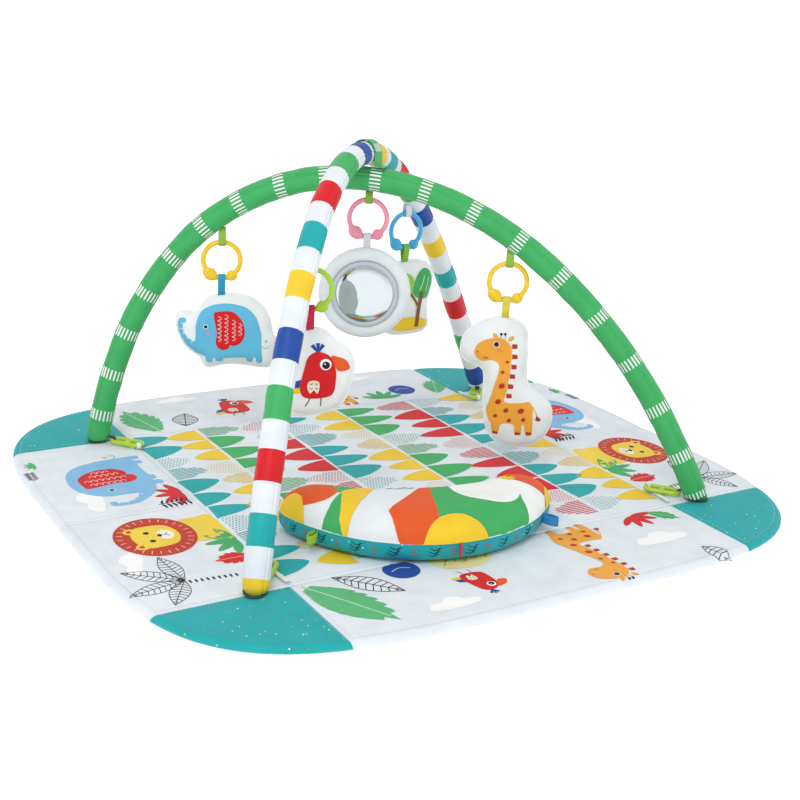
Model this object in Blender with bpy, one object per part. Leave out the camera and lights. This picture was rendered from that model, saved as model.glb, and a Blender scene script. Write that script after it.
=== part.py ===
"""Activity play gym: a padded mat, two crossed padded arches, hanging toys on rings and a tummy pillow.

Metres, +Z up. The origin is on the floor under the middle of the mat. +X runs along the mat's long
side and +Y along its short side. The mat rests on z = 0.
"""

import math

import bpy
from mathutils import Matrix, Vector

# Mat
MAT_LENGTH = 1.04
MAT_WIDTH = 0.93
MAT_THICKNESS = 0.012
MAT_SQUARENESS = 4.2        # exponent of the superellipse that the rounded outline follows
MAT_EDGE_ROUNDING = 0.003
SEAM_X = 0.318              # seams between the centre panel and the side panels
SEAM_Y = 0.288
GAP = 0.0003                # clearance between touching pieces
UP = Vector((0, 0, 1))

# Arches: each is one cubic curve from foot to foot, given by how far its handles reach
OVERALL_HEIGHT = 0.51
FOOT_X = 0.368
FOOT_Y = 0.2915
GREEN_RADIUS = 0.018
STRIPED_RADIUS = 0.0175
GREEN_REACH = (0.083, 0.281)
STRIPED_REACH = (0.338, 0.338)
GREEN_LEAN = 0.047
STRIPED_LEAN = 0.096
CROSSING_DROP = 0.038       # from the striped arch's centreline down to the green arch's, at their tops
SLEEVE_BORE = 0.0073
ROD_RADIUS = 0.0055
FERRULE_BORE = 0.0058
FERRULE_RADIUS = 0.0067
FERRULE_HALF_LENGTH = 0.02
CAP_RADIUS = 0.015
CAP_THICKNESS = 0.0025
CAP_COLLAR_RADIUS = 0.0069
CAP_COLLAR_HEIGHT = 0.018
ARCH_STEPS = 28
SLEEVE_SIDES = 16
ROD_SIDES = 8

# Keeper strap over the crossing
STRAP_INNER_RADIUS = 0.0195
STRAP_THICKNESS = 0.0012
STRAP_WIDTH = 0.022
STRAP_FLANGE = 0.011
STRAP_SOLE = 0.0176         # from the striped arch's centreline down to the flanges

# Rings and ribbons
RING_RADIUS = 0.028
RING_BAR = 0.0037
RING_LEAF_BULGE = 0.0048    # leaf lump near the bottom left, ball near the bottom right
RING_BALL_BULGE = 0.0040
RIBBON_WIDTH = 0.011
RIBBON_THICKNESS = 0.0012
RIBBON_LOOP = 0.0052        # inner radius of the loop around a ring's bar
BAND_POINTS = 6             # in the section of a ribbon, strap or tag: its corners and two mid points

# Hanging pads
PAD_HALF_THICKNESS = 0.012
MIRROR_RADIUS = 0.070
MIRROR_DISC_RADIUS = 0.0455

# Links that clip the feet to the mat
LINK_LENGTH = 0.058
LINK_WIDTH = 0.024
LINK_BAR = 0.0032
LINK_DISTANCE = 0.024       # from the foot's centre to the link's outer end
LINK_DIRECTION = Vector((0.652, 0.758, 0)).normalized()
WEB_WIDTH = 0.007
WEB_THICKNESS = 0.0008
WEB_START = 0.045           # sewn end of the webbing, back from the link's pivot

# Tummy pillow: a bent capsule
PILLOW_CENTRE = Vector((-0.073, -0.194, 0))
PILLOW_TURN = math.radians(-16)
PILLOW_BEND_RADIUS = 0.205
PILLOW_HALF_ANGLE = math.radians(48)
PILLOW_TIP_RADIUS = 0.046
PILLOW_MIDDLE_HALF_WIDTH = 0.071
PILLOW_HEIGHT = 0.062

# Outlines of the hanging pads in millimetres from their middles: x to the right, z up
ELEPHANT_OUTLINE = [
    (2, 59), (33, 55), (57, 39), (68, 19), (72, 0), (78, -17), (73, -43), (70, -59), (49, -59),
    (21, -55), (-2, -55), (-29, -59), (-39, -43), (-55, -31), (-68, -15), (-75, 8), (-74, 25),
    (-67, 31), (-45, 30), (-39, 35), (-29, 49), (-14, 57),
]
GIRAFFE_OUTLINE = [
    (-6, 103), (8, 99), (22, 90), (29, 78), (30, 54), (30, 30), (30, 6), (38, -10), (53, -22),
    (66, -35), (70, -53), (68, -70), (60, -86), (49, -97), (34, -103), (17, -104), (-2, -101),
    (-19, -93), (-29, -78), (-34, -55), (-36, -25), (-35, 12), (-40, 22), (-50, 28), (-64, 34),
    (-70, 46), (-70, 62), (-63, 78), (-48, 90), (-28, 99),
]
PARROT_OUTLINE = [
    (-11, 63), (3, 61), (12, 55), (20, 45), (31, 39), (40, 31), (46, 18), (47, 1), (43, -16),
    (38, -34), (29, -48), (13, -58), (-10, -62), (-32, -62), (-43, -53), (-46, -38), (-44, -16),
    (-38, 7), (-34, 30), (-30, 48), (-22, 58),
]
TREE_OUTLINE = [
    (0, 62), (18, 60), (34, 54), (44, 42), (46, 25), (42, 6), (38, -14), (40, -34), (42, -50),
    (32, -60), (12, -63), (-12, -63), (-32, -60), (-42, -50), (-40, -34), (-38, -14), (-42, 6),
    (-46, 25), (-44, 42), (-34, 54), (-18, 60),
]

# Each toy: its arch, its place along that arch as a share of the length from the arch's -X foot,
# the way it faces (degrees from -Y towards -X) and the drop from the sleeve to its ring
TOYS = {
    "elephant": ("green", 0.310, 22, 0.0202),
    "mirror": ("green", 0.480, 30, 0.0115),
    "giraffe": ("green", 0.645, 34, 0.0175),
    "parrot": ("striped", 0.343, 26, 0.0193),
    "tree": ("striped", 0.643, 0, 0.0125),
}
# Each pad: its outline, its middle right of and above the ring's lowest point, its tilt in degrees
PADS = {
    "elephant": (ELEPHANT_OUTLINE, 0.0070, -0.0820, 0.5),
    "giraffe": (GIRAFFE_OUTLINE, 0.0105, -0.1265, 3.5),
    "parrot": (PARROT_OUTLINE, 0.0160, -0.0880, 2.0),
    "tree": (TREE_OUTLINE, 0.0100, -0.0820, 0.0),
}
MIRROR_DROP = 0.0156
COLOURS = {
    "elephant": ("F7D21E", "9CC83C", "2BA9D6"),
    "mirror": ("F09DB8", "8DC63F", "D5DCE2"),
    "giraffe": ("F7D21E", "9CC83C", "F0E04A"),
    "parrot": ("A9D82F", "2F7FC8", "CC1F4F"),
    "tree": ("3DB5EA", "EEF2F5", "7DBE3C"),
}


def plain_material(name, colour, roughness=0.8, metallic=0.0):
    """A Principled material from a six-digit sRGB colour."""
    material = bpy.data.materials.new(name)
    material.use_nodes = True
    shader = material.node_tree.nodes["Principled BSDF"]
    channels = [int(colour[i:i + 2], 16) / 255 for i in (0, 2, 4)]
    linear = [c / 12.92 if c <= 0.04045 else ((c + 0.055) / 1.055) ** 2.4 for c in channels]
    shader.inputs["Base Color"].default_value = (*linear, 1)
    shader.inputs["Roughness"].default_value = roughness
    shader.inputs["Metallic"].default_value = metallic
    material.diffuse_color = (*linear, 1)
    return material


def add_empty(name, place, turn=0.0, parent=None):
    """An empty on a joint's axis, placed in the world, that carries the pieces of one moving body."""
    empty = bpy.data.objects.new(name, None)
    bpy.context.scene.collection.objects.link(empty)
    empty.empty_display_size = 0.03
    world = Matrix.Translation(place) @ Matrix.Rotation(turn, 4, "Z")
    if parent is not None:
        empty.parent = parent
        world = placed[parent.name].inverted() @ world
    empty.matrix_local = world
    placed[name] = placed[parent.name] @ world if parent is not None else world
    return empty


def add_piece(name, rings, parent, colour, roughness=0.8, looped=False):
    """One closed mesh from rings of points (in the parent's frame), each ring joined to the next."""
    count = len(rings[0])
    points = [point for ring in rings for point in ring]
    faces = []
    for i in range(len(rings) if looped else len(rings) - 1):
        a = i * count
        b = (i + 1) % len(rings) * count
        faces += [(a + k, a + (k + 1) % count, b + (k + 1) % count, b + k) for k in range(count)]
    if not looped:
        last = len(points) - count
        for cap in [(0, 1, 2, 5), (5, 2, 3, 4)] if count == BAND_POINTS else [range(count)]:
            faces.append(tuple(reversed(cap)))
            faces.append(tuple(last + k for k in cap))
    mesh = bpy.data.meshes.new(name)
    mesh.from_pydata([tuple(p) for p in points], [], faces)
    if signed_volume(mesh) < 0:
        mesh.flip_normals()
    mesh.shade_smooth()
    mesh.set_sharp_from_angle(angle=math.radians(40))
    mesh.materials.append(plain_material(name, colour, roughness))
    piece = bpy.data.objects.new(name, mesh)
    bpy.context.scene.collection.objects.link(piece)
    piece.parent = parent
    return piece


def signed_volume(mesh):
    mesh.calc_loop_triangles()
    corners = [[mesh.vertices[i].co for i in triangle.vertices] for triangle in mesh.loop_triangles]
    return sum(a.dot(b.cross(c)) for a, b, c in corners)


def circle(radius, sides, height=0.0):
    angles = [2 * math.pi * k / sides for k in range(sides)]
    return [Vector((radius * math.cos(a), radius * math.sin(a), height)) for a in angles]


def inset(outline, distance):
    """The closed 2D outline moved inwards by a distance, with mitred corners."""
    area = sum(a.x * b.y - b.x * a.y for a, b in zip(outline, outline[1:] + outline[:1]))
    turn = 1 if area > 0 else -1
    moved = []
    for before, here, after in zip(outline[-1:] + outline[:-1], outline, outline[1:] + outline[:1]):
        first = (here - before).normalized()
        second = (after - here).normalized()
        normal = Vector((-(first.y + second.y), first.x + second.x)) * turn
        stretch = max(0.5, normal.normalized().dot(Vector((-first.y, first.x)) * turn))
        moved.append(here + normal.normalized() * (distance / stretch))
    return moved


# ---------------------------------------------------------------- mat


def mat_edge(start, end, count):
    """Points of the mat's outline between two angles of the superellipse."""
    power = 2 / MAT_SQUARENESS
    points = []
    for k in range(count + 1):
        angle = start + (end - start) * k / count
        x = MAT_LENGTH / 2 * math.copysign(abs(math.cos(angle)) ** power, math.cos(angle))
        y = MAT_WIDTH / 2 * math.copysign(abs(math.sin(angle)) ** power, math.sin(angle))
        points.append(Vector((x, y)))
    return points


def build_mat(root):
    """Centre panel, four side panels with a fold seam across two of them, and four corner patches."""
    angle_x = math.acos((SEAM_X * 2 / MAT_LENGTH) ** (MAT_SQUARENESS / 2))
    angle_y = math.asin((SEAM_Y * 2 / MAT_WIDTH) ** (MAT_SQUARENESS / 2))
    corner = Vector((SEAM_X, SEAM_Y))
    centre = [Vector((x, y)) for x, y in ((1, 1), (-1, 1), (-1, -1), (1, -1))]
    panels = {"mat_centre_panel": ([Vector((c.x * SEAM_X, c.y * SEAM_Y)) for c in centre], "EEF3F6")}
    for name, x, y in (("right_back", 1, 1), ("left_back", -1, 1), ("left_front", -1, -1), ("right_front", 1, -1)):
        side = [Vector((SEAM_X, SEAM_Y)), Vector((SEAM_X, 0))] + mat_edge(0, angle_y, 6)
        patch = [corner] + mat_edge(angle_y, angle_x, 10)
        panels["mat_panel_" + name] = ([Vector((p.x * x, p.y * y)) for p in side], "E6ECF1")
        panels["corner_patch_" + name] = ([Vector((p.x * x, p.y * y)) for p in patch], "2FB5B7")
    for name, y in (("back", 1), ("front", -1)):
        strip = [Vector((-SEAM_X, SEAM_Y)), corner] + mat_edge(angle_x, math.pi - angle_x, 10)
        panels["mat_panel_" + name] = ([Vector((p.x, p.y * y)) for p in strip], "E6ECF1")
    layers = [(0, GAP / 2), (MAT_THICKNESS - MAT_EDGE_ROUNDING, GAP / 2),
              (MAT_THICKNESS, GAP / 2 + MAT_EDGE_ROUNDING)]
    for name, (outline, colour) in panels.items():
        rings = [[Vector((p.x, p.y, z)) for p in inset(outline, cut)] for z, cut in layers]
        add_piece(name, rings, root, colour)


# ---------------------------------------------------------------- arches


class Arch:
    """A padded arch: a polyline along one cubic curve, which its tube, rods and toys all follow."""

    def __init__(self, start, end, reach, rise, lean, radius):
        along = (end - start).normalized()
        self.side = Vector((-along.y, along.x, 0))
        self.radius = radius
        self.floor = start.z
        near = start + along * reach[0] + UP * rise + self.side * lean
        far = end - along * reach[1] + UP * rise + self.side * lean
        fine = []
        for k in range(401):
            t = k / 400
            fine.append(
                start * (1 - t) ** 3 + near * (3 * t * (1 - t) ** 2)
                + far * (3 * t * t * (1 - t)) + end * t ** 3
            )
        self.points = [self.walk(fine, k / ARCH_STEPS) for k in range(ARCH_STEPS + 1)]
        self.length = sum((b - a).length for a, b in zip(self.points, self.points[1:]))

    @staticmethod
    def walk(points, share):
        """The point that is a share of the way along a polyline."""
        lengths = [(b - a).length for a, b in zip(points, points[1:])]
        left = share * sum(lengths)
        for a, b, length in zip(points, points[1:], lengths):
            if left <= length:
                return a.lerp(b, left / length)
            left -= length
        return points[-1].copy()

    def at(self, share):
        return self.walk(self.points, share)

    def tangent(self, share):
        step = 0.4 / ARCH_STEPS
        low, high = max(0.0, share - step), min(1.0, share + step)
        return (self.at(high) - self.at(low)).normalized()

    def ring(self, share, radius, sides, level=None):
        """A ring of points square to the arch, or cut level at a height near a foot."""
        centre = self.at(share)
        forward = self.tangent(share)
        across = (self.side - forward * self.side.dot(forward)).normalized()
        upward = across.cross(forward)
        ring = []
        for point in circle(radius, sides):
            place = centre + across * point.x + upward * point.y
            if level is not None:
                place += forward * ((level - place.z) / forward.z)
            ring.append(place)
        return ring

    def clearance(self, point):
        """Distance from a point to the arch's centreline."""
        nearest = 1.0
        for a, b in zip(self.points, self.points[1:]):
            edge = b - a
            t = min(1.0, max(0.0, (point - a).dot(edge) / edge.length_squared))
            nearest = min(nearest, (point - a - edge * t).length)
        return nearest

    def underside(self, place):
        """The height at which a vertical line through a place below the sleeve meets it, less the gap."""
        point = place.copy()
        while self.clearance(point) > self.radius + GAP:
            point.z += 0.0001
        return point.z


def build_arch(name, arch, parent, sleeve_colour):
    """Sleeve, two rods joined by a ferrule, and a cap on each foot."""
    base = placed[parent.name].translation
    floor = arch.floor

    def local(rings):
        return [[point - base for point in ring] for ring in rings]

    shares = [k / ARCH_STEPS for k in range(ARCH_STEPS + 1)]
    sleeve_level = floor + CAP_THICKNESS + GAP

    def tube(radius, sides, low, high):
        """Rings along the arch at its own steps from share low to share high."""
        inner = [s for s in shares if low < s < high]
        rings = []
        for share in [low] + inner + [high]:
            at_foot = share in (0.0, 1.0)
            rings.append(arch.ring(share, radius, sides, sleeve_level if at_foot else None))
        return rings

    outside = tube(arch.radius, SLEEVE_SIDES, 0.0, 1.0)
    bore = tube(SLEEVE_BORE, SLEEVE_SIDES, 0.0, 1.0)
    add_piece(name + "_sleeve", local(outside + bore[::-1]), parent, sleeve_colour, looped=True)
    split = GAP / 2 / arch.length
    for side, low, high in (("near", 0.0, 0.5 - split), ("far", 0.5 + split, 1.0)):
        add_piece(f"{name}_rod_{side}", local(tube(ROD_RADIUS, ROD_SIDES, low, high)), parent, "3A3D40", 0.4)
    reach = FERRULE_HALF_LENGTH / arch.length
    outside = tube(FERRULE_RADIUS, ROD_SIDES, 0.5 - reach, 0.5 + reach)
    bore = tube(FERRULE_BORE, ROD_SIDES, 0.5 - reach, 0.5 + reach)
    add_piece(name + "_ferrule", local(outside + bore[::-1]), parent, "B8BCC0", 0.35, looped=True)
    for side, share, sign in (("near", 0.0, 1), ("far", 1.0, -1)):
        top = share + sign * CAP_COLLAR_HEIGHT / arch.length
        rings = [
            arch.ring(share, CAP_RADIUS, SLEEVE_SIDES, floor),
            arch.ring(share, CAP_RADIUS, SLEEVE_SIDES, floor + CAP_THICKNESS),
            arch.ring(share, CAP_COLLAR_RADIUS, SLEEVE_SIDES, floor + CAP_THICKNESS),
            arch.ring(top, CAP_COLLAR_RADIUS, SLEEVE_SIDES),
            arch.ring(top, FERRULE_BORE + GAP, SLEEVE_SIDES),
            arch.ring(share, FERRULE_BORE + GAP, SLEEVE_SIDES, floor + CAP_THICKNESS),
        ]
        add_piece(f"{name}_foot_cap_{side}", local(rings), parent, "26332C", 0.6)


def band(path, width, thickness, across):
    """Rings of a flat band along a path of points, with its width along the across direction."""
    rings = []
    for i, point in enumerate(path):
        before = path[max(0, i - 1)]
        after = path[min(len(path) - 1, i + 1)]
        normal = (after - before).cross(across).normalized() * (thickness / 2)
        side = across * (width / 2)
        rings.append([point + side + normal, point + side - normal, point - normal,
                      point - side - normal, point - side + normal, point + normal])
    return rings


def arc(centre, radius, start, end, count, first, second):
    """Points on an arc in the plane of two directions, between two angles in degrees."""
    angles = [math.radians(start + (end - start) * k / count) for k in range(count + 1)]
    return [centre + first * (radius * math.cos(a)) + second * (radius * math.sin(a)) for a in angles]


def build_keeper_strap(parent, green, striped, crossing):
    """A strap sewn on the green sleeve that passes over the striped one where they cross."""
    through = striped.tangent(crossing["striped"])
    along = green.tangent(crossing["green"])
    along = (along - through * along.dot(through)).normalized()
    over = along.cross(through)
    if over.z < 0:
        over.negate()
    centre = striped.at(crossing["striped"]) - placed[parent.name].translation
    radius = STRAP_INNER_RADIUS + STRAP_THICKNESS / 2
    sole = STRAP_SOLE - STRAP_THICKNESS / 2
    foot = radius + STRAP_FLANGE
    path = [centre - along * foot - over * sole, centre - along * (radius + 0.002) - over * sole,
            centre - along * radius - over * (sole - 0.002)]
    path += arc(centre, radius, 180, 0, 14, along, over)
    path += [centre + along * radius - over * (sole - 0.002),
             centre + along * (radius + 0.002) - over * sole, centre + along * foot - over * sole]
    add_piece("keeper_strap", band(path, STRAP_WIDTH, STRAP_THICKNESS, through), parent, "4FB56B")


# ---------------------------------------------------------------- rings, ribbons and pads


def build_ring(name, parent, colour):
    """A ring that hangs from its top, with a leaf-shaped lump and a ball either side of its bottom."""
    rings = []
    for k in range(36):
        angle = 2 * math.pi * k / 36
        leaf = math.exp(-((angle - math.radians(219)) / 0.33) ** 4)
        ball = math.exp(-((angle - math.radians(147)) / 0.22) ** 4)
        bar = RING_BAR + RING_LEAF_BULGE * leaf + RING_BALL_BULGE * ball
        outward = Vector((math.sin(angle), 0, math.cos(angle)))
        centre = outward * RING_RADIUS - UP * RING_RADIUS
        flat = 1 - 0.15 * leaf
        ring = [centre + outward * p.x + Vector((0, p.y * flat, 0)) for p in circle(bar, 8)]
        rings.append(ring)
    add_piece(name, rings, parent, colour, 0.35, looped=True)


def build_arch_ribbon(name, parent, arch, axis, turn, colour):
    """A ribbon loop from the sleeve's underside round the top of a ring. axis is the ring's hinge."""
    across = Vector((math.cos(turn), math.sin(turn), 0))
    front = Vector((math.sin(turn), -math.cos(turn), 0))
    radius = RIBBON_LOOP + RIBBON_THICKNESS / 2

    def to_sleeve(corner):
        low = Vector((corner.x, corner.y, axis.z))
        return Vector((corner.x, corner.y, arch.underside(low)))

    path = [axis - front * radius + UP * 0.001]
    path += arc(axis, radius, 180, 360, 10, front, UP)
    path += [axis + front * radius + UP * 0.001]
    rings = band(path, RIBBON_WIDTH, RIBBON_THICKNESS, across)
    ends = [[to_sleeve(corner) for corner in ring] for ring in (rings[0], rings[-1])]
    rings = [ends[0]] + rings[1:-1] + [ends[1]]
    base = placed[parent.name].translation
    add_piece(name, [[p - base for p in ring] for ring in rings], parent, colour)


def build_toy_ribbon(name, parent, drop, colour):
    """A ribbon loop over a ring's bottom bar, down to the pad that it carries."""
    across = Vector((1, 0, 0))
    depth = Vector((0, 1, 0))
    radius = RIBBON_LOOP + RIBBON_THICKNESS / 2
    path = [depth * radius - UP * (drop - GAP)]
    path += arc(Vector(), radius, 0, 180, 10, depth, UP)
    path += [-depth * radius - UP * (drop - GAP)]
    add_piece(name, band(path, RIBBON_WIDTH, RIBBON_THICKNESS, across), parent, colour)


def build_pad(name, parent, outline, colour):
    """A stuffed flat pad: full size at its seam and smaller towards its two faces."""
    half = PAD_HALF_THICKNESS
    layers = [(-half, 0.011), (-half * 0.72, 0.004), (0, 0), (half * 0.72, 0.004), (half, 0.011)]
    rings = [[Vector((p.x, y, p.y)) for p in inset(outline, cut)] for y, cut in layers]
    add_piece(name, rings, parent, colour)


def pad_outline(name):
    """The pad's outline where it hangs, from the ring's lowest point."""
    corners, right, up, tilt = PADS[name]
    turn = Matrix.Rotation(math.radians(tilt), 2)
    return [turn @ Vector(corner) * 0.001 + Vector((right, up)) for corner in corners]


def top_over(outline, reach):
    """The highest point of an outline within a reach either side of x = 0."""
    heights = []
    for a, b in zip(outline, outline[1:] + outline[:1]):
        for x in (-reach, -reach / 2, 0, reach / 2, reach):
            if min(a.x, b.x) <= x <= max(a.x, b.x) and a.x != b.x:
                heights.append(a.lerp(b, (x - a.x) / (b.x - a.x)).y)
    return max(heights)


def build_mirror(parent):
    """A round padded frame with a recess in its front, an acrylic disc in it and a binding ring."""
    centre = -UP * (MIRROR_DROP + MIRROR_RADIUS)

    def lathe(profile):
        """Rings about the mirror's axis from (radius, distance towards the front) pairs."""
        return [[centre + Vector((p.x, -front, p.y)) for p in circle(radius, 28)] for radius, front in profile]

    frame = [(0.057, -0.011), (0.0665, -0.008), (MIRROR_RADIUS, 0), (0.0665, 0.008), (0.058, 0.0105),
             (MIRROR_DISC_RADIUS + 0.0007, 0.0105), (MIRROR_DISC_RADIUS + 0.0007, 0.006)]
    disc = [(MIRROR_DISC_RADIUS, 0.0063), (MIRROR_DISC_RADIUS, 0.0088)]
    binding = [(0.0435, 0.0108), (0.051, 0.0108), (0.0505, 0.0122), (0.044, 0.0122)]
    add_piece("mirror_frame", lathe(frame), parent, "DDE3E8")
    add_piece("mirror_disc", lathe(disc), parent, "B9C2C6", 0.05)
    add_piece("mirror_binding", lathe(binding), parent, "C3CBD2", looped=True)


def build_toy(name, arch, arch_empty):
    """Ribbon, ring, ribbon and pad, hinged at the ring's top and again at its bottom."""
    _, share, heading, drop = TOYS[name]
    ring_colour, top_colour, low_colour = COLOURS[name]
    turn = -math.radians(heading)
    below = arch.at(share) - UP * 0.1
    axis = Vector((below.x, below.y, arch.underside(below) - drop))
    build_arch_ribbon(name + "_arch_ribbon", arch_empty, arch, axis, turn, top_colour)
    ring_empty = add_empty(name + "_ring_pivot", axis, turn, arch_empty)
    build_ring(name + "_ring", ring_empty, ring_colour)
    toy_empty = add_empty(name + "_pivot", axis - UP * (2 * RING_RADIUS), turn, ring_empty)
    if name == "mirror":
        build_toy_ribbon(name + "_ribbon", toy_empty, MIRROR_DROP, low_colour)
        build_mirror(toy_empty)
    else:
        outline = pad_outline(name)
        build_toy_ribbon(name + "_ribbon", toy_empty, -top_over(outline, RIBBON_WIDTH / 2), low_colour)
        build_pad(name + "_toy", toy_empty, outline, "EDF0F2")


# ---------------------------------------------------------------- links and their webbing


def build_link(name, root, foot):
    """An oblong link beside a foot, and the webbing hook, sewn at the patch, that holds its inner end."""
    side_x, side_y = math.copysign(1, -foot.x), math.copysign(1, -foot.y)
    inward = Vector((LINK_DIRECTION.x * side_x, LINK_DIRECTION.y * side_y, 0))
    end_radius = LINK_WIDTH / 2 - LINK_BAR
    straight = LINK_LENGTH - LINK_WIDTH
    pivot = foot + inward * (LINK_DISTANCE + LINK_WIDTH / 2 + straight)
    pivot.z = MAT_THICKNESS
    bar_height = GAP + WEB_THICKNESS + 0.0004 + LINK_BAR
    empty = add_empty(name + "_pivot", pivot, math.atan2(inward.y, inward.x), root)
    x, y = Vector((1, 0, 0)), Vector((0, 1, 0))
    level = UP * bar_height
    path = arc(level, end_radius, -90, 90, 8, x, y)
    path += arc(level - x * straight, end_radius, 90, 270, 8, x, y)
    rings = []
    for i, point in enumerate(path):
        forward = (path[(i + 1) % len(path)] - path[i - 1]).normalized()
        outward = forward.cross(UP)
        rings.append([point + outward * p.x + UP * p.y for p in circle(LINK_BAR, 8)])
    add_piece(name, rings, empty, "B5D334", 0.35, looped=True)

    sewn = Vector((math.copysign(SEAM_X, foot.x), math.copysign(SEAM_Y, foot.y), MAT_THICKNESS))
    along = (pivot - sewn).normalized()
    across = UP.cross(along)
    low = GAP + WEB_THICKNESS / 2
    loop = bar_height - low
    bar = pivot + along * end_radius + UP * bar_height
    inner = bar - along * 0.0009
    path = [pivot - along * WEB_START + UP * low]
    path += arc(bar, loop, -90, 90, 8, along, UP)
    path += arc(inner, loop, 90, 180, 4, along, UP)
    path += [inner - along * loop - UP * (loop - 0.0013)]
    anchor = band(path, WEB_WIDTH, WEB_THICKNESS, across)
    add_piece(name.replace("link", "anchor_web"), anchor, root, "F4F4F2")


# ---------------------------------------------------------------- pillow


def pillow_outline(cut, steps=7):
    """Bent capsule, cut in by a distance: x along the pillow, y towards its hollow side."""
    bend, half = PILLOW_BEND_RADIUS, PILLOW_HALF_ANGLE
    sink = Vector((0, bend * math.cos(half)))
    tip = PILLOW_TIP_RADIUS - cut
    swell = PILLOW_MIDDLE_HALF_WIDTH - PILLOW_TIP_RADIUS

    def edge(angle, side):
        width = tip + swell * math.cos(angle / half * math.pi / 2)
        return sink - Vector((-math.sin(angle), math.cos(angle))) * (bend + side * width)

    angles = [half * (2 * k / (2 * steps) - 1) for k in range(2 * steps + 1)]
    outer = [edge(a, 1) for a in angles]
    right = sink - Vector((-math.sin(half), math.cos(half))) * bend
    left = Vector((-right.x, right.y))
    start = -math.pi / 2 + half
    turns = [math.pi * k / steps for k in range(1, steps)]
    right_tip = [right + Vector((math.cos(start + t), math.sin(start + t))) * tip for t in turns]
    inner = [edge(a, -1) for a in reversed(angles)]
    start = math.pi / 2 - half
    left_tip = [left + Vector((math.cos(start + t), math.sin(start + t))) * tip for t in turns]
    return outer + right_tip + inner + left_tip


def build_pillow(root):
    """The tummy pillow lies loose on the mat, with three sewn-in tags on its front edge."""
    base = PILLOW_CENTRE + UP * (MAT_THICKNESS + GAP)
    empty = add_empty("pillow_lift", base, PILLOW_TURN, root)
    layers = [(0, 0.010), (0.008, 0), (0.034, 0), (0.050, 0.010), (0.060, 0.025), (PILLOW_HEIGHT, 0.045)]
    rings = [[Vector((p.x, p.y, z)) for p in pillow_outline(cut)] for z, cut in layers]
    add_piece("pillow", rings, empty, "F28C3A")
    tags = {"lime": (-38, "A6CE39", 0.020), "red": (4, "D8315B", 0.003), "blue": (41, "2F86C9", 0.020)}
    for name, (angle, colour, length) in tags.items():
        bent = math.radians(angle)
        outward = Vector((math.sin(bent), -math.cos(bent), 0))
        swell = (PILLOW_MIDDLE_HALF_WIDTH - PILLOW_TIP_RADIUS) * math.cos(bent / PILLOW_HALF_ANGLE * math.pi / 2)
        reach = PILLOW_BEND_RADIUS + PILLOW_TIP_RADIUS + swell + GAP
        edge = Vector((0, PILLOW_BEND_RADIUS * math.cos(PILLOW_HALF_ANGLE), 0.021)) + outward * reach
        path = [edge + outward * 0.0006, edge + outward * (length + 0.0006)]
        across = Vector((0, 0, 1))
        add_piece("pillow_tag_" + name, band(path, 0.012, 0.003, across), empty, colour)


# ---------------------------------------------------------------- assembly


def crossing_of(green, striped):
    """Shares along the two arches where, seen from above, they cross."""
    shares = [0.4 + 0.2 * k / 400 for k in range(401)]
    greens = [(share, green.at(share)) for share in shares]
    stripes = [(share, striped.at(share)) for share in shares[::2]]
    nearest = min(
        ((a - b).xy.length_squared, s, t) for s, a in greens for t, b in stripes
    )
    return {"green": nearest[1], "striped": nearest[2]}


def main():
    for old in list(bpy.data.objects):
        bpy.data.objects.remove(old)
    root = add_empty("mat", Vector())
    build_mat(root)

    floor = MAT_THICKNESS + GAP
    striped_top = OVERALL_HEIGHT - STRAP_INNER_RADIUS - STRAP_THICKNESS
    green_top = striped_top - CROSSING_DROP
    left = Vector((-FOOT_X, FOOT_Y, floor))
    right = Vector((FOOT_X, -FOOT_Y, floor))
    front = Vector((-FOOT_X, -FOOT_Y, floor))
    back = Vector((FOOT_X, FOOT_Y, floor))
    green = Arch(left, right, GREEN_REACH, (green_top - floor) / 0.75, GREEN_LEAN, GREEN_RADIUS)
    striped = Arch(front, back, STRIPED_REACH, (striped_top - floor) / 0.75, STRIPED_LEAN, STRIPED_RADIUS)
    crossing = crossing_of(green, striped)
    green_empty = add_empty("green_arch_lift", Vector((0, 0, floor)), 0, root)
    place = striped.at(crossing["striped"])
    striped_empty = add_empty("striped_arch_pivot", place, 0, green_empty)
    build_arch("green_arch", green, green_empty, "4FB56B")
    build_arch("striped_arch", striped, striped_empty, "E9EEF2")
    build_keeper_strap(green_empty, green, striped, crossing)
    for name, facts in TOYS.items():
        if facts[0] == "green":
            build_toy(name, green, green_empty)
        else:
            build_toy(name, striped, striped_empty)
    for name, foot in (("link_left", left), ("link_right", right), ("link_front", front), ("link_back", back)):
        build_link(name, root, foot)
    build_pillow(root)


placed = {}
main()
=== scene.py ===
import math

import bmesh
import bpy
from mathutils import Matrix, Vector, noise
from mathutils.bvhtree import BVHTree
from mathutils.geometry import tessellate_polygon


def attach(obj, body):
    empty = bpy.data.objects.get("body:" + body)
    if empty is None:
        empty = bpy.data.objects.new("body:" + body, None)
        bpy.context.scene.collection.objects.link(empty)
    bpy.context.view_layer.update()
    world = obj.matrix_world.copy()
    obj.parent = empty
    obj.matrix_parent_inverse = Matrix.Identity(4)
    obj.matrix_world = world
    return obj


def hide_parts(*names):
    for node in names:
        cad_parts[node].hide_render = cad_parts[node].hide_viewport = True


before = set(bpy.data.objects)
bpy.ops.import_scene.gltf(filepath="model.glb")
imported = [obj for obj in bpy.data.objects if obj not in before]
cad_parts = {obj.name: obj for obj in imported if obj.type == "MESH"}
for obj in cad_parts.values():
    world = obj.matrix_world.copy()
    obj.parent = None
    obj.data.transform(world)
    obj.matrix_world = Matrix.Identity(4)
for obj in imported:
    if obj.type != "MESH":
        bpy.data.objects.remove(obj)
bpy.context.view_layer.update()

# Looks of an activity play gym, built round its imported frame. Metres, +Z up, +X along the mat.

UP = Vector((0, 0, 1))
MM = 0.001

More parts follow.
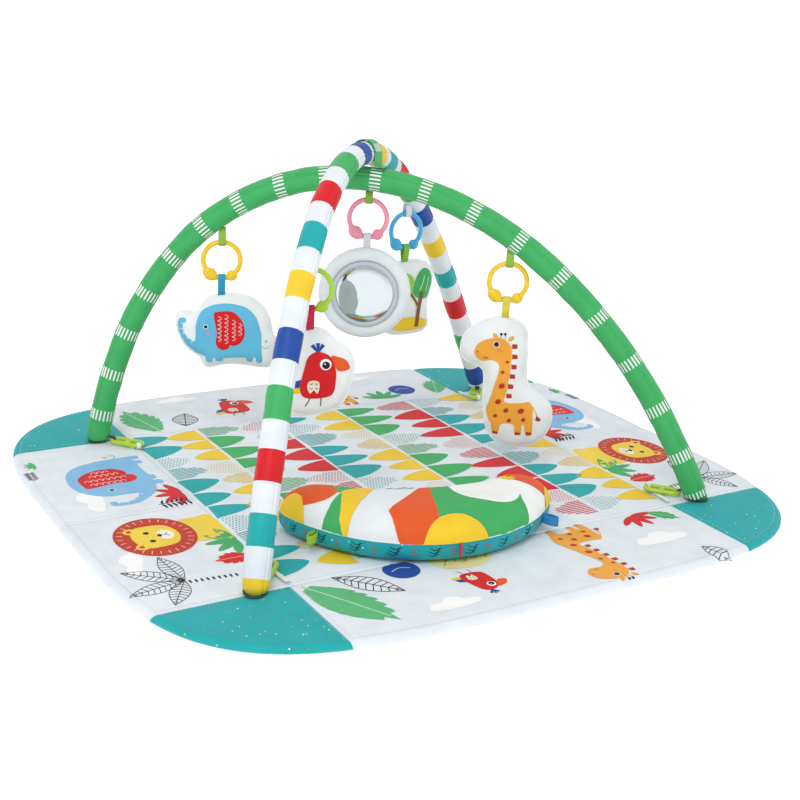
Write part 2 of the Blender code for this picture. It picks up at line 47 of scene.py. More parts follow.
# Sizes shared with the frame
MAT_A = 0.52
MAT_B = 0.465
MAT_N = 4.2
MAT_CELL = 0.0075
SEAM_X = 0.318
SEAM_Y = 0.288
FLOOR = 0.0123
FOOT_X = 0.368
FOOT_Y = 0.2915
GREEN_CROWN = 0.4513
STRIPED_CROWN = 0.4893
RING_RADIUS = 0.028
PADDED_ARCH = 0.9

# The camera's place: metres and degrees
LENS = 58.0563
SENSOR = 36
AIM = Vector((-0.0342, -0.0706, 0.15))
AWAY = 1.8849
YAW, PITCH, ROLL = 32.36, 18.28, 3.38

WHITE = "E6ECF2"
GREEN = "3FAE63"
TEAL = "17A9AC"
RED = "D8161F"
YELLOW = "F3CC2C"
BLUE = "1B4AA0"
ORANGE = "E8591F"
SKY = "62BCE0"
BLACK = "15171A"
PINK = "EE93AE"

# ------------------------------------------------------------------ materials

MATERIALS = {}
WAVES_PER_THREAD = 0.314


def linear(colour):
    channels = [int(colour[i:i + 2], 16) / 255 for i in (0, 2, 4)]
    return [c / 12.92 if c <= 0.04045 else ((c + 0.055) / 1.055) ** 2.4 for c in channels]


def new_material(name):
    material = bpy.data.materials.new(name)
    material.use_nodes = True
    tree = material.node_tree
    return material, tree, tree.nodes["Principled BSDF"]


def add(tree, kind, wires=(), values=(), **settings):
    """A new shader node, with its sockets wired or given a value and its own settings."""
    node = tree.nodes.new("ShaderNode" + kind)
    for setting, value in settings.items():
        setattr(node, setting, value)
    for socket, value in dict(values).items():
        node.inputs[socket].default_value = value
    for socket, source in dict(wires).items():
        tree.links.new(source, node.inputs[socket])
    return node


def bump(tree, height, strength, distance, below=None):
    wires = {"Height": height, "Normal": below} if below else {"Height": height}
    return add(tree, "Bump", wires, {"Strength": strength, "Distance": distance}).outputs["Normal"]


def uneven(tree, value, low, high):
    """A number between two limits that follows a noise."""
    return add(tree, "MapRange", {"Value": value}, {"To Min": low, "To Max": high}).outputs[0]


def set_values(shader, **values):
    for socket, value in values.items():
        shader.inputs[socket.replace("_", " ")].default_value = value


def mottled(tree, shader, colour, scale, depth):
    """Base colour that drifts a little, darker and lighter. Returns the object coordinates it uses."""
    place = add(tree, "TexCoord").outputs["Object"]
    cloud = add(tree, "TexNoise", {"Vector": place}, {"Scale": scale, "Detail": 4})
    ramp = add(tree, "ValToRGB", {"Fac": cloud.outputs["Fac"]})
    base = linear(colour)
    dark, light = ramp.color_ramp.elements
    dark.position, light.position = 0.3, 0.7
    dark.color = (*[c * (1 - depth) for c in base], 1)
    light.color = (*[min(1, c * (1 + depth * 0.6)) for c in base], 1)
    tree.links.new(ramp.outputs["Color"], shader.inputs["Base Color"])
    return place


def fabric(name, colour, roughness=0.62, sheen=0.25, weave=0.0009, wrinkle=0.25):
    """Woven polyester: crossed sets of fine threads, soft creases and a slight sheen."""
    if name in MATERIALS:
        return MATERIALS[name]
    material, tree, shader = new_material(name)
    place = mottled(tree, shader, colour, 30, 0.06)
    values = {"Scale": WAVES_PER_THREAD / weave, "Distortion": 0.6}
    x, y, z = (add(tree, "TexWave", {"Vector": place}, values, bands_direction=axis).outputs["Fac"]
               for axis in "XYZ")
    cross = add(tree, "Math", {0: x, 1: y}, operation="ADD")
    threads = add(tree, "Math", {0: cross.outputs[0], 1: z}, operation="ADD")
    crease = add(tree, "TexNoise", {"Vector": place}, {"Scale": 45, "Detail": 5, "Roughness": 0.55})
    fine = bump(tree, threads.outputs[0], 0.16, 0.0002)
    tree.links.new(bump(tree, crease.outputs["Fac"], wrinkle, 0.002, fine), shader.inputs["Normal"])
    set_values(shader, Roughness=roughness, Sheen_Weight=sheen * 0.35, Sheen_Roughness=0.5,
               Specular_IOR_Level=0.28)
    MATERIALS[name] = material
    return material


def speckled(name, colour):
    """Woven polyester printed with small dots of several colours, on some of its cells."""
    material = fabric(name, colour, wrinkle=0.5)
    tree = material.node_tree
    base = tree.nodes["Principled BSDF"].inputs["Base Color"]
    ground = base.links[0].from_socket
    place = next(n for n in tree.nodes if n.type == "TEX_COORD").outputs["Object"]
    cells = add(tree, "TexVoronoi", {"Vector": place}, {"Scale": 120})
    split = add(tree, "SeparateColor", {0: cells.outputs["Color"]})
    hue = add(tree, "ValToRGB", {"Fac": split.outputs[0]})
    hue.color_ramp.interpolation = "CONSTANT"
    stops = [(0.0, YELLOW), (0.35, "FFFFFF"), (0.6, "0C6E78"), (0.85, RED)]
    while len(hue.color_ramp.elements) < len(stops):
        hue.color_ramp.elements.new(0.5)
    for element, (start, stop) in zip(hue.color_ramp.elements, stops):
        element.position = start
        element.color = (*linear(stop), 1)
    near = add(tree, "Math", {0: cells.outputs["Distance"]}, {1: 0.13}, operation="LESS_THAN")
    some = add(tree, "Math", {0: split.outputs[1]}, {1: 0.45}, operation="GREATER_THAN")
    dots = add(tree, "Math", {0: near.outputs[0], 1: some.outputs[0]}, operation="MULTIPLY")
    mix = add(tree, "Mix", {0: dots.outputs[0], 6: ground, 7: hue.outputs["Color"]}, data_type="RGBA")
    tree.links.new(mix.outputs[2], base)
    return material


def plastic(name, colour, roughness=0.28, coat=0.25):
    """Moulded plastic: nearly even colour, faint mould texture, uneven polish."""
    if name in MATERIALS:
        return MATERIALS[name]
    material, tree, shader = new_material(name)
    place = mottled(tree, shader, colour, 60, 0.05)
    grain = add(tree, "TexNoise", {"Vector": place}, {"Scale": 900})
    smear = add(tree, "TexNoise", {"Vector": place}, {"Scale": 70})
    tree.links.new(bump(tree, grain.outputs["Fac"], 0.05, 0.0003), shader.inputs["Normal"])
    polish = uneven(tree, smear.outputs["Fac"], roughness * 0.8, roughness * 1.25)
    tree.links.new(polish, shader.inputs["Roughness"])
    set_values(shader, Coat_Weight=coat, Coat_Roughness=0.2, Subsurface_Weight=0.08,
               Subsurface_Scale=0.003)
    MATERIALS[name] = material
    return material


def metal(name, colour, roughness):
    """Metal or mirror sheet with faint smears in its polish."""
    material, tree, shader = new_material(name)
    place = mottled(tree, shader, colour, 25, 0.03)
    smear = add(tree, "TexNoise", {"Vector": place}, {"Scale": 22, "Detail": 5}).outputs["Fac"]
    tree.links.new(uneven(tree, smear, roughness * 0.7, roughness * 1.5), shader.inputs["Roughness"])
    tree.links.new(bump(tree, smear, 0.12, 0.001), shader.inputs["Normal"])
    set_values(shader, Metallic=1.0)
    return material


def cloth(colour):
    """The printed fabric of a colour."""
    return fabric("print_" + colour, colour, roughness=0.6, sheen=0.15)


def ribbon_cloth(colour):
    """The shiny narrow fabric of a ribbon."""
    return fabric("ribbon_" + colour, colour, roughness=0.45, sheen=0.4, weave=0.0006)


# ------------------------------------------------------------------ mesh helpers


def add_object(name, data):
    item = bpy.data.objects.new(name, data)
    bpy.context.scene.collection.objects.link(item)
    return item


def make_piece(name, verts, faces, materials, slots=None, smooth=True):
    mesh = bpy.data.meshes.new(name)
    mesh.from_pydata([tuple(v) for v in verts], [], faces)
    for material in materials:
        mesh.materials.append(material)
    if slots:
        mesh.polygons.foreach_set("material_index", slots)
    mesh.polygons.foreach_set("use_smooth", [smooth] * len(mesh.polygons))
    mesh.update()
    return add_object(name, mesh)


def settle(piece, body, slot, *stands_for, padding=None):
    """Puts a piece on its body and hides the nodes it stands for. Its slot and padding are not used."""
    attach(piece, body)
    if stands_for:
        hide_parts(*stands_for)


def skin(rings, looped=False, caps=True):
    """Vertices and faces of a surface through rings of the same number of points."""
    count = len(rings[0])
    verts = [point for ring in rings for point in ring]
    faces = []
    for i in range(len(rings) if looped else len(rings) - 1):
        a = i * count
        b = (i + 1) % len(rings) * count
        faces += [(a + k, a + (k + 1) % count, b + (k + 1) % count, b + k) for k in range(count)]
    if caps and not looped:
        faces.append(tuple(reversed(range(count))))
        faces.append(tuple(range(len(verts) - count, len(verts))))
    return verts, faces


def outward(piece):
    """Turns the piece's faces to the outside."""
    mesh = bmesh.new()
    mesh.from_mesh(piece.data)
    bmesh.ops.recalc_face_normals(mesh, faces=mesh.faces[:])
    mesh.to_mesh(piece.data)
    mesh.free()
    return piece


def surface(name, rings, material, looped=False):
    """A piece of one material through rings of points."""
    return outward(make_piece(name, *skin(rings, looped), [material]))


def round_off(piece):
    smooth = piece.modifiers.new("Smooth", "SUBSURF")
    smooth.levels = smooth.render_levels = 1


def slice_up(mesh, axis, offsets, near):
    """Cuts a mesh along planes across an axis."""
    normal = Vector(axis)
    for offset in offsets:
        everything = mesh.verts[:] + mesh.edges[:] + mesh.faces[:]
        bmesh.ops.bisect_plane(mesh, geom=everything, plane_co=normal * offset, plane_no=normal, dist=near)


def turns(count):
    """Angles evenly round a circle."""
    return [2 * math.pi * k / count for k in range(count)]


def oval_ring(centre, one, two, reach_one, reach_two, count):
    """Points round an ellipse in the plane of two directions."""
    return [centre + one * (reach_one * math.cos(a)) + two * (reach_two * math.sin(a)) for a in turns(count)]


def ahead_at(path, i, looped=False):
    """Direction of a path at one of its points."""
    if looped:
        return (path[(i + 1) % len(path)] - path[i - 1]).normalized()
    return (path[min(i + 1, len(path) - 1)] - path[max(i - 1, 0)]).normalized()


def nearest_on(rim, point):
    """The point of a closed 2D outline that is nearest."""
    best, found = 1e9, point
    for a, b in zip(rim, rim[1:] + rim[:1]):
        side = b - a
        share = min(1.0, max(0.0, (point - a).dot(side) / side.length_squared))
        spot = a + side * share
        gap = (point - spot).length_squared
        if gap < best:
            best, found = gap, spot
    return found


def between(a, b, c, d, t):
    """A point of the Catmull-Rom curve from b to c."""
    return (b + (c - a) * (t / 2) + (a * 2 - b * 5 + c * 4 - d) * (t * t / 2)
            + (b * 3 - a - c * 3 + d) * (t ** 3 / 2))


def closed_curve(corners, steps=5):
    """Closed smooth curve through 2D corners."""
    count = len(corners)
    points = []
    for i in range(count):
        four = [Vector(corners[(i + k) % count]) for k in (-1, 0, 1, 2)]
        points += [between(*four, step / steps) for step in range(steps)]
    return points


def open_curve(corners, steps=5):
    """Smooth curve through points in 2D or 3D, from the first to the last."""
    ends = [corners[0] * 2 - corners[1]] + list(corners) + [corners[-1] * 2 - corners[-2]]
    points = []
    for i in range(1, len(ends) - 2):
        points += [between(*ends[i - 1:i + 3], step / steps) for step in range(steps)]
    return points + [ends[-2]]


# ------------------------------------------------------------------ flat artwork
# A shape is (colour, layer, outline); outlines are lists of 2D vectors.


def blob(colour, layer, corners, steps=4):
    return (colour, layer, closed_curve(corners, steps))


def cut(colour, layer, corners):
    return (colour, layer, [Vector(c) for c in corners])


def oval(colour, layer, x, y, rx, ry=None, turn=0.0, count=24):
    ry = rx if ry is None else ry
    points = []
    for a in turns(count):
        u, v = rx * math.cos(a), ry * math.sin(a)
        points.append(Vector((x + u * math.cos(turn) - v * math.sin(turn),
                              y + u * math.sin(turn) + v * math.cos(turn))))
    return (colour, layer, points)


def stroke(colour, layer, corners, width, steps=4):
    """A line of one width along a smooth path."""
    path = open_curve([Vector(c) for c in corners], steps)
    left, right = [], []
    for i, point in enumerate(path):
        ahead = ahead_at(path, i)
        side = Vector((-ahead.y, ahead.x)) * (width / 2)
        left.append(point + side)
        right.append(point - side)
    return (colour, layer, left + right[::-1])


def moved(shapes, x, y, turn=0.0, scale=1.0, flip=False):
    """The shapes scaled, flipped left to right, turned by degrees and moved."""
    c, s = math.cos(math.radians(turn)), math.sin(math.radians(turn))
    result = []
    for colour, layer, points in shapes:
        placed = []
        for p in points:
            u, v = (-p.x if flip else p.x) * scale, p.y * scale
            placed.append(Vector((x + u * c - v * s, y + u * s + v * c)))
        result.append((colour, layer, placed))
    return result


def apply_artwork(name, shapes, place, cell, lift=0.00012, first=0.00025):
    """A piece of flat shapes laid on a surface, in cells. place(x, y, height) gives a 3D point,
    and each layer lies a little higher than the one below it."""
    colours = sorted({shape[0] for shape in shapes})
    mesh = bmesh.new()
    for colour, layer, points in shapes:
        corners = [mesh.verts.new((p.x, p.y, layer)) for p in points]
        flat = [Vector((p.x, p.y, 0)) for p in points]
        for a, b, c in tessellate_polygon([flat]):
            area = (flat[b] - flat[a]).cross(flat[c] - flat[a]).z
            if abs(area) < cell * cell * 1e-6:
                continue
            order = (a, b, c) if area > 0 else (a, c, b)
            face = mesh.faces.new([corners[i] for i in order])
            face.material_index = colours.index(colour)
    loose = [vert for vert in mesh.verts if not vert.link_faces]
    bmesh.ops.delete(mesh, geom=loose, context="VERTS")
    for axis in (0, 1):
        values = [vert.co[axis] for vert in mesh.verts]
        steps = range(math.ceil(min(values) / cell), math.floor(max(values) / cell) + 1)
        slice_up(mesh, (1 - axis, axis, 0), [k * cell for k in steps], 1e-7)
    for vert in mesh.verts:
        vert.co = place(vert.co.x, vert.co.y, first + lift * vert.co.z)
    mesh.normal_update()
    mesh.verts.index_update()
    normals = [Vector() for _ in mesh.verts]
    for face in mesh.faces:
        face.smooth = True
        for vert in face.verts:
            normals[vert.index] += face.normal * face.calc_area()
    normals = [normal.normalized() if normal.length > 0 else UP for normal in normals]
    data = bpy.data.meshes.new(name)
    mesh.to_mesh(data)
    mesh.free()
    data.normals_split_custom_set_from_vertices(normals)
    for colour in colours:
        data.materials.append(cloth(colour))
    return add_object(name, data)


def elephant_art(body=SKY):
    """Millimetres, facing left, on its feet."""
    outline = [(-47, 22), (-40, 33), (-29, 41), (-14, 46), (0, 47), (16, 45), (31, 40), (42, 31), (49, 20),
               (53, 7), (56, -5), (56, -20), (57, -37), (58, -52), (49, -53), (47, -44), (43, -44), (41, -52),
               (33, -51), (31, -44), (12, -44), (-5, -45), (-6, -50), (-17, -50), (-19, -44), (-22, -44),
               (-24, -52), (-33, -52), (-35, -42), (-49, -38), (-61, -29), (-72, -16), (-78, -2), (-78, 13),
               (-76, 20), (-71, 23), (-66, 22), (-66, 16), (-70, 14), (-71, 7), (-69, -2), (-62, -11),
               (-52, -16), (-50, -5), (-50, 9)]
    ear = [(-21, 31), (-14, 34), (0, 35), (11, 33), (20, 25), (26, 15), (29, 2), (27, -11), (20, -20),
           (11, -23), (5, -22), (2, -28), (-7, -30), (-15, -25), (-18, -16), (-16, -2), (-19, 15)]
    shapes = [blob(body, 1, outline, 3), blob(RED, 2, ear, 3)]
    for x, top, turns in ((-14, 26, 6), (-3, 29, 7), (9, 20, 5), (19, 15, 3)):
        path = []
        for k in range(turns):
            y = top - k * 7.0
            path += [(x, y), (x + 4, y - 1.4), (x + 4.4, y - 4.6), (x, y - 6)]
        shapes.append(stroke("F6C9C9", 3, path, 1.1, 3))
    shapes += [oval("FFFFFF", 2, -34, 9, 3.9), oval(BLACK, 3, -34, 9, 2.9), oval(PINK, 2, -30.5, -2.5, 3.4, 1.8)]
    for x, y, dx, dy in ((-73, 14, 5, 0), (-75, 5, 5, -1), (-71, -4, 4, 3), (-64, -12, 3, 4), (-57, -19, 2, 5)):
        shapes.append(stroke("FFFFFF", 3, [(x, y), (x + dx, y + dy)], 1.0, 1))
    shapes.append(stroke(TEAL, 1, [(57, -24), (61, -28), (66, -28), (70, -24)], 0.8))
    for dy in (-3, 0, 3):
        shapes.append(stroke(TEAL, 1, [(62, -16), (66, -16 + dy)], 0.7, 1))
    return shapes


def giraffe_art():
    """Millimetres, facing left, on its feet."""
    hide = "F2A83B"
    spot = "B8321C"
    body = [(-50, 48), (-47, 60), (-37, 68), (-21, 72), (-7, 71), (4, 61), (6, 54), (6, 40), (4, 20),
            (0, -10), (-3, -29), (25, -30), (32, -28), (38, -33), (40, -40), (40, -50), (40, -62), (39, -82),
            (30, -83), (27, -66), (24, -66), (22, -81), (13, -81), (11, -65), (-8, -64), (-12, -78), (-21, -79),
            (-24, -64), (-27, -60), (-31, -43), (-26, -25), (-19, -2), (-12, 24), (-15, 34), (-25, 38), (-35, 36),
            (-43, 38)]
    shapes = [blob(hide, 1, body, 3)]
    for x, y, r in ((0, 35, 2.9), (-7, 19, 3.2), (-8, -3, 5.2), (-13, -28, 5), (-1, -42, 4.6), (22, -43, 5.4),
                    (-17, -51, 3.6), (4, -58, 3.8), (26, -57, 3.8)):
        shapes.append(oval(spot, 2, x, y, r, r * 0.82, 0.5, 7))
    for x, y in ((10.5, 59), (11, 43), (10, 27), (8, 12), (5.5, -4), (3.5, -19)):
        shapes.append(cut(spot, 0, [(x - 4, y + 3.8), (x + 4, y + 3.2), (x + 4, y - 3.4), (x - 4, y - 3.6)]))
    shapes.append(cut(spot, 2, [(46, -50), (53, -57), (50, -60), (44, -58)]))
    shapes.append(stroke(hide, 1, [(39, -36), (44, -44), (47, -53)], 1.4))
    shapes += [oval("FFFFFF", 2, -17, 62.5, 4.6), oval(BLACK, 3, -17, 62.5, 3.8), oval("F08C78", 2, -12, 53, 3.4, 2.4)]
    shapes.append(oval(spot, 2, -45, 51, 1.3))
    shapes.append(stroke(BLACK, 2, [(-36, 43.5), (-34, 41), (-31, 41), (-29, 43)], 0.9))
    for x in (-10, -4):
        shapes += [stroke(hide, 1, [(x, 70), (x, 77)], 1.4, 1), oval(BLACK, 2, x, 78, 2.0)]
    shapes += [oval(hide, 1, -18.5, 75, 3, 5, 0.7), oval(hide, 1, 5, 71, 3, 5, -0.9)]
    for x in (-17, 17.5, 34.5):
        shapes.append(cut(spot, 2, [(x - 4, -77), (x + 4.4, -78), (x + 4.2, -82), (x - 4, -82)]))
    return shapes


def parrot_art():
    """Millimetres, facing right."""
    body = [(-2, 31), (8, 28), (15, 22.5), (19, 13.5), (22, 1), (21, -16), (19, -26), (13.5, -33), (-1, -36),
            (-17, -36), (-25, -32), (-28, -22.5), (-26, -9), (-21, 11), (-17, 22.5), (-10, 29)]
    shapes = [blob(RED, 1, body), blob(ORANGE, 0, [(15, 24), (26, 23), (35, 19), (40, 11), (40, 5), (24, 4)], 3)]
    shapes += [oval("FFFFFF", 2, 7.5, 13, 8), oval(BLACK, 3, 8, 12, 5.3), oval("FFFFFF", 4, 6.6, 13.6, 1.1)]
    for angle in (-38, 0, 34):
        a = math.radians(angle)
        foot, tip = Vector((-3, 30)), Vector((-3, 30)) + Vector((math.sin(a), math.cos(a))) * 13
        side = Vector((math.cos(a), -math.sin(a)))
        shapes.append(cut(BLUE, 0, [foot - side * 1.3, foot + side * 1.3, tip + side * 2.8, tip - side * 2.8]))
    wing = [(-16, -12), (-9, -10), (-2, -12), (-1, -20), (-4, -29), (-9, -24), (-14, -29), (-18, -20)]
    shapes.append(blob("F5E9CF", 2, wing, 3))
    for x, y in ((-12.5, -15), (-5, -15), (-12.5, -21.5), (-5, -21.5)):
        shapes.append(stroke(BLACK, 3, [(x - 2, y + 1), (x, y - 1), (x + 2, y + 1)], 0.9, 1))
    shapes.append(cut(BLUE, 0, [(-26, -9), (-37, -13), (-42, -23), (-27, -21)]))
    shapes.append(cut(YELLOW, 0, [(-27, -20), (-43, -22), (-44, -31), (-28, -29)]))
    shapes.append(stroke(BLACK, 0, [(-14, -35), (-17, -42), (-21, -48)], 1.3, 1))
    shapes.append(stroke(BLACK, 0, [(1, -35), (1, -42), (0, -48)], 1.3, 1))
    return shapes


def lion_art():
    """Millimetres, head to the front and body below it."""
    mane = "C63A1E"
    face = "F4D445"
    shapes = [blob(face, 1, [(-30, -40), (-38, -70), (-38, -94), (38, -94), (38, -70), (32, -40)], 3),
              oval(mane, 2, 0, 0, 60, 54, 0, 40)]
    for a in turns(26):
        ends = [(reach * math.cos(a) * 1.05, reach * math.sin(a) * 0.95) for reach in (44, 52)]
        shapes.append(stroke("F6D9CC", 3, ends, 1.1, 1))
    for x in (-25, 25):
        shapes += [oval(face, 3, x, 26, 9), oval(mane, 4, x, 27, 4)]
    shapes.append(blob(face, 4, [(-34, 6), (-28, 24), (0, 31), (28, 24), (34, 6), (28, -22), (0, -32), (-28, -22)]))
    shapes += [oval(BLACK, 5, -13, 8, 4), oval(BLACK, 5, 13, 8, 4), oval("FBF3DF", 5, 0, -14, 15, 11)]
    shapes += [oval(BLACK, 6, 0, -6, 4.5, 3), stroke(BLACK, 6, [(0, -7), (0, -14), (-5, -18)], 1.2),
               stroke(BLACK, 6, [(0, -14), (5, -18)], 1.2, 1)]
    return shapes


def leaf_art(colour, length, width, notches=5, rib="A9DDB4"):
    """A leaf with cuts between its lobes, from its stalk upwards."""
    halves = []
    for side in (1, -1):
        half = []
        for k in range(notches):
            for share, pull in ((0.08, 0.80), (0.45, 0.98), (0.86, 1.0), (1.0, 0.58)):
                t = (k + share) / (notches + 0.6)
                reach = width / 2 * math.sin(math.pi * (t * 0.90 + 0.08)) ** 0.8 * pull
                droop = 0.05 * length if pull > 0.9 else 0.0
                half.append((side * reach, length * t + droop))
        halves.append(half)
    shapes = [cut(colour, 1, [(0, 0)] + halves[0] + [(0, length * 1.08)] + halves[1][::-1])]
    shapes.append(stroke(rib, 2, [(0, -length * 0.06), (0, length * 0.5), (0, length * 0.96)], width * 0.04))
    return shapes


def line_leaf(length, width, bars=9):
    """An outlined leaf with a rib and slanted bars, in black lines."""
    line = width * 0.035
    rim = [(width / 2 * math.sin(math.pi * k / 12), length * k / 12) for k in range(13)]
    shapes = [stroke(BLACK, 1, rim, line, 2), stroke(BLACK, 1, [(-x, y) for x, y in rim], line, 2)]
    shapes.append(stroke(BLACK, 1, [(0, 0), (0, length)], line, 1))
    for k in range(1, bars):
        y = length * k / bars
        reach = width / 2 * math.sin(math.pi * k / bars) * 0.92
        for side in (1, -1):
            shapes.append(stroke(BLACK, 1, [(0, y - length * 0.03), (side * reach, y + length * 0.03)], line, 1))
    return shapes


def palm_art():
    shapes = []
    for turn, size in ((100, 62), (52, 66), (5, 60), (148, 52)):
        shapes += moved(line_leaf(size, 21, 10), 0, 0, turn)
    for k in range(9):
        shapes.append(stroke(BLACK, 1, [(4 + k * 6, -2 - k * 0.6), (4 + k * 6, -8 - k * 0.6)], 2.2, 1))
    return shapes


def twig_art():
    shapes = [stroke(BLACK, 1, [(0, 0), (20, 2), (42, 0)], 1.0)]
    for k in range(6):
        for side in (1, -1):
            shapes.append(oval(BLACK, 1, 6 + k * 6.4, side * 5, 1.6, 5, -0.4 * side))
    return shapes


def cloud_art():
    lumps = [(-40, 0), (-30, 14), (-14, 14), (-4, 24), (14, 22), (24, 12), (38, 10), (42, 0), (20, -6), (-20, -6)]
    return [blob("FFFFFF", 0, lumps)]


def ball_art():
    return [oval(BLUE, 1, 0, 0, 25), stroke("C7D6EE", 2, [(-14, 0), (0, 6), (14, 0)], 1.6)]


def burst_art(colour):
    """A leaf of five fingers."""
    shapes = []
    for turn in (-70, -35, 0, 35, 70):
        finger = [(0, 0), (5, 12), (4, 26), (0, 34), (-4, 26), (-5, 12)]
        shapes += moved([blob(colour, 1, finger, 3)], 0, 0, turn)
    return shapes


def peak_art(colour, kind, width, height):
    """A rounded peak that points along +x: plain, hatched or dotted."""
    rim = [(0, -height / 2), (width * 0.45, -height * 0.40), (width * 0.85, -height * 0.16),
           (width, height * 0.04), (width * 0.8, height * 0.24), (width * 0.4, height * 0.42), (0, height / 2)]
    outline = open_curve([Vector(c) for c in rim], 4)
    if kind == "plain":
        return [(colour, 1, outline)]
    shapes = []
    rows = max(4, int(height / 5))
    for k in range(rows):
        y = height * ((k + 0.5) / rows - 0.5)
        reach = max((p.x for p in outline if abs(p.y - y) < height * 0.09), default=0)
        if kind == "hatched":
            shapes.append(stroke(colour, 1, [(1, y), (max(3, reach - 2), y)], 2.3, 1))
        else:
            for j in range(int(reach / 5)):
                shapes.append(oval(colour, 1, 3 + j * 5 + (k % 2) * 2, y, 1.3, count=8))
    return shapes


# ------------------------------------------------------------------ mat


def mat_edge_distance(x, y):
    """About how far a point of the mat is inside its outline."""
    u, v = abs(x) / MAT_A, abs(y) / MAT_B
    total = max(1e-9, u ** MAT_N + v ** MAT_N)
    reach = total ** (1 / MAT_N)
    slope = total ** (1 / MAT_N - 1)
    gx, gy = slope * u ** (MAT_N - 1) / MAT_A, slope * v ** (MAT_N - 1) / MAT_B
    return (1 - reach) / max(0.3, math.hypot(gx, gy))


def seam_distance(x, y):
    """How far a point is from the mat's nearest seam."""
    ax, ay = abs(x), abs(y)
    found = [abs(ax - SEAM_X), abs(ay - SEAM_Y)]
    if ax > SEAM_X:
        found.append(abs(ay))
    return min(found)


def mat_height(x, y):
    """Height of the padded mat's top: full between its seams and low along them."""
    seam = seam_distance(x, y)
    edge = max(0.0, mat_edge_distance(x, y))
    top = 0.0092 + 0.0021 * (1 - math.exp(-seam / 0.012))
    top -= 0.0016 * math.exp(-((seam / 0.0020) ** 2))
    top -= 0.0007 * math.exp(-(((edge - 0.012) / 0.0018) ** 2))
    if edge < 0.010:
        top -= 0.0062 * (1 - edge / 0.010) ** 2.6
    drift = noise.noise(Vector((x * 7, y * 7, 0.3)))
    pucker = noise.noise(Vector((x * 60, y * 60, 2.1))) * math.exp(-seam / 0.02)
    return top - 0.0003 + 0.0002 * drift + 0.00025 * pucker


def mat_outline(inset, count=280):
    """The mat's rounded rectangle, moved inwards."""
    power = 2 / MAT_N
    points = []
    for angle in turns(count):
        c, s = math.cos(angle), math.sin(angle)
        points.append(Vector((MAT_A * math.copysign(abs(c) ** power, c),
                              MAT_B * math.copysign(abs(s) ** power, s))))
    moved_in = []
    for i, here in enumerate(points):
        ahead = ahead_at(points, i, looped=True)
        moved_in.append(here + Vector((-ahead.y, ahead.x)) * inset)
    return moved_in


def in_corner(face):
    middle = face.calc_center_median()
    return abs(middle.x) > SEAM_X and abs(middle.y) > SEAM_Y


def pull_down(mesh, level, shrink=1.0):
    """Extrudes the mesh's open edge to a level."""
    open_edges = [e for e in mesh.edges if e.is_boundary]
    grown = bmesh.ops.extrude_edge_only(mesh, edges=open_edges)
    for vert in grown["geom"]:
        if isinstance(vert, bmesh.types.BMVert):
            vert.co.x *= shrink
            vert.co.y *= shrink
            vert.co.z = level


def build_mat():
    """One padded mat with its panels and corner patches as materials."""
    mesh = bmesh.new()
    loops = [[mesh.verts.new((p.x, p.y, 0)) for p in mat_outline(inset)]
             for inset in (0, 0.0006, 0.002, 0.004, 0.007, 0.0105, 0.0135)]
    for outer, inner in zip(loops, loops[1:]):
        for k in range(len(outer)):
            n = (k + 1) % len(outer)
            mesh.faces.new((outer[k], outer[n], inner[n], inner[k]))
    mesh.faces.new(loops[-1])
    for axis, half, seam in (((1, 0, 0), MAT_A, SEAM_X), ((0, 1, 0), MAT_B, SEAM_Y)):
        marks = [side * (seam + off) for side in (1, -1)
                 for off in (-0.006, -0.0032, -0.0015, 0, 0.0015, 0.0032, 0.006)]
        if half == MAT_B:
            marks += [-0.0032, -0.0015, 0.0, 0.0015, 0.0032]
        count = int(half / MAT_CELL)
        grid = [k * MAT_CELL for k in range(-count, count + 1)]
        offsets = set(marks) | {g for g in grid if min(abs(g - m) for m in marks) > 0.002}
        slice_up(mesh, axis, sorted(offsets), 1e-6)
    for face in mesh.faces:
        face.material_index = int(in_corner(face))
    for vert in mesh.verts:
        vert.co.z = mat_height(vert.co.x, vert.co.y)
    pull_down(mesh, 0.0012)
    pull_down(mesh, 0.0002, 0.994)
    bmesh.ops.contextual_create(mesh, geom=[e for e in mesh.edges if e.is_boundary])
    for face in mesh.faces:
        face.smooth = True
        if in_corner(face) and len(face.verts) < 20:
            face.material_index = 1
    bmesh.ops.recalc_face_normals(mesh, faces=mesh.faces[:])
    data = bpy.data.meshes.new("mat_padded")
    mesh.to_mesh(data)
    mesh.free()
    data.materials.append(fabric("mat_white", WHITE, roughness=0.5, sheen=0.1, wrinkle=0.55))
    data.materials.append(speckled("corner_teal", TEAL))
    quarters = ("left_front", "left_back", "right_front", "right_back")
    names = ["mat_panel_" + n for n in ("front", "back") + quarters]
    names += ["corner_patch_" + n for n in quarters]
    settle(add_object("mat_padded", data), "mat", "mat_panel_fabric", "mat_centre_panel", *names, padding=0.3)


def on_mat(x, y, height):
    return Vector((x, y, mat_height(x, y) + height))


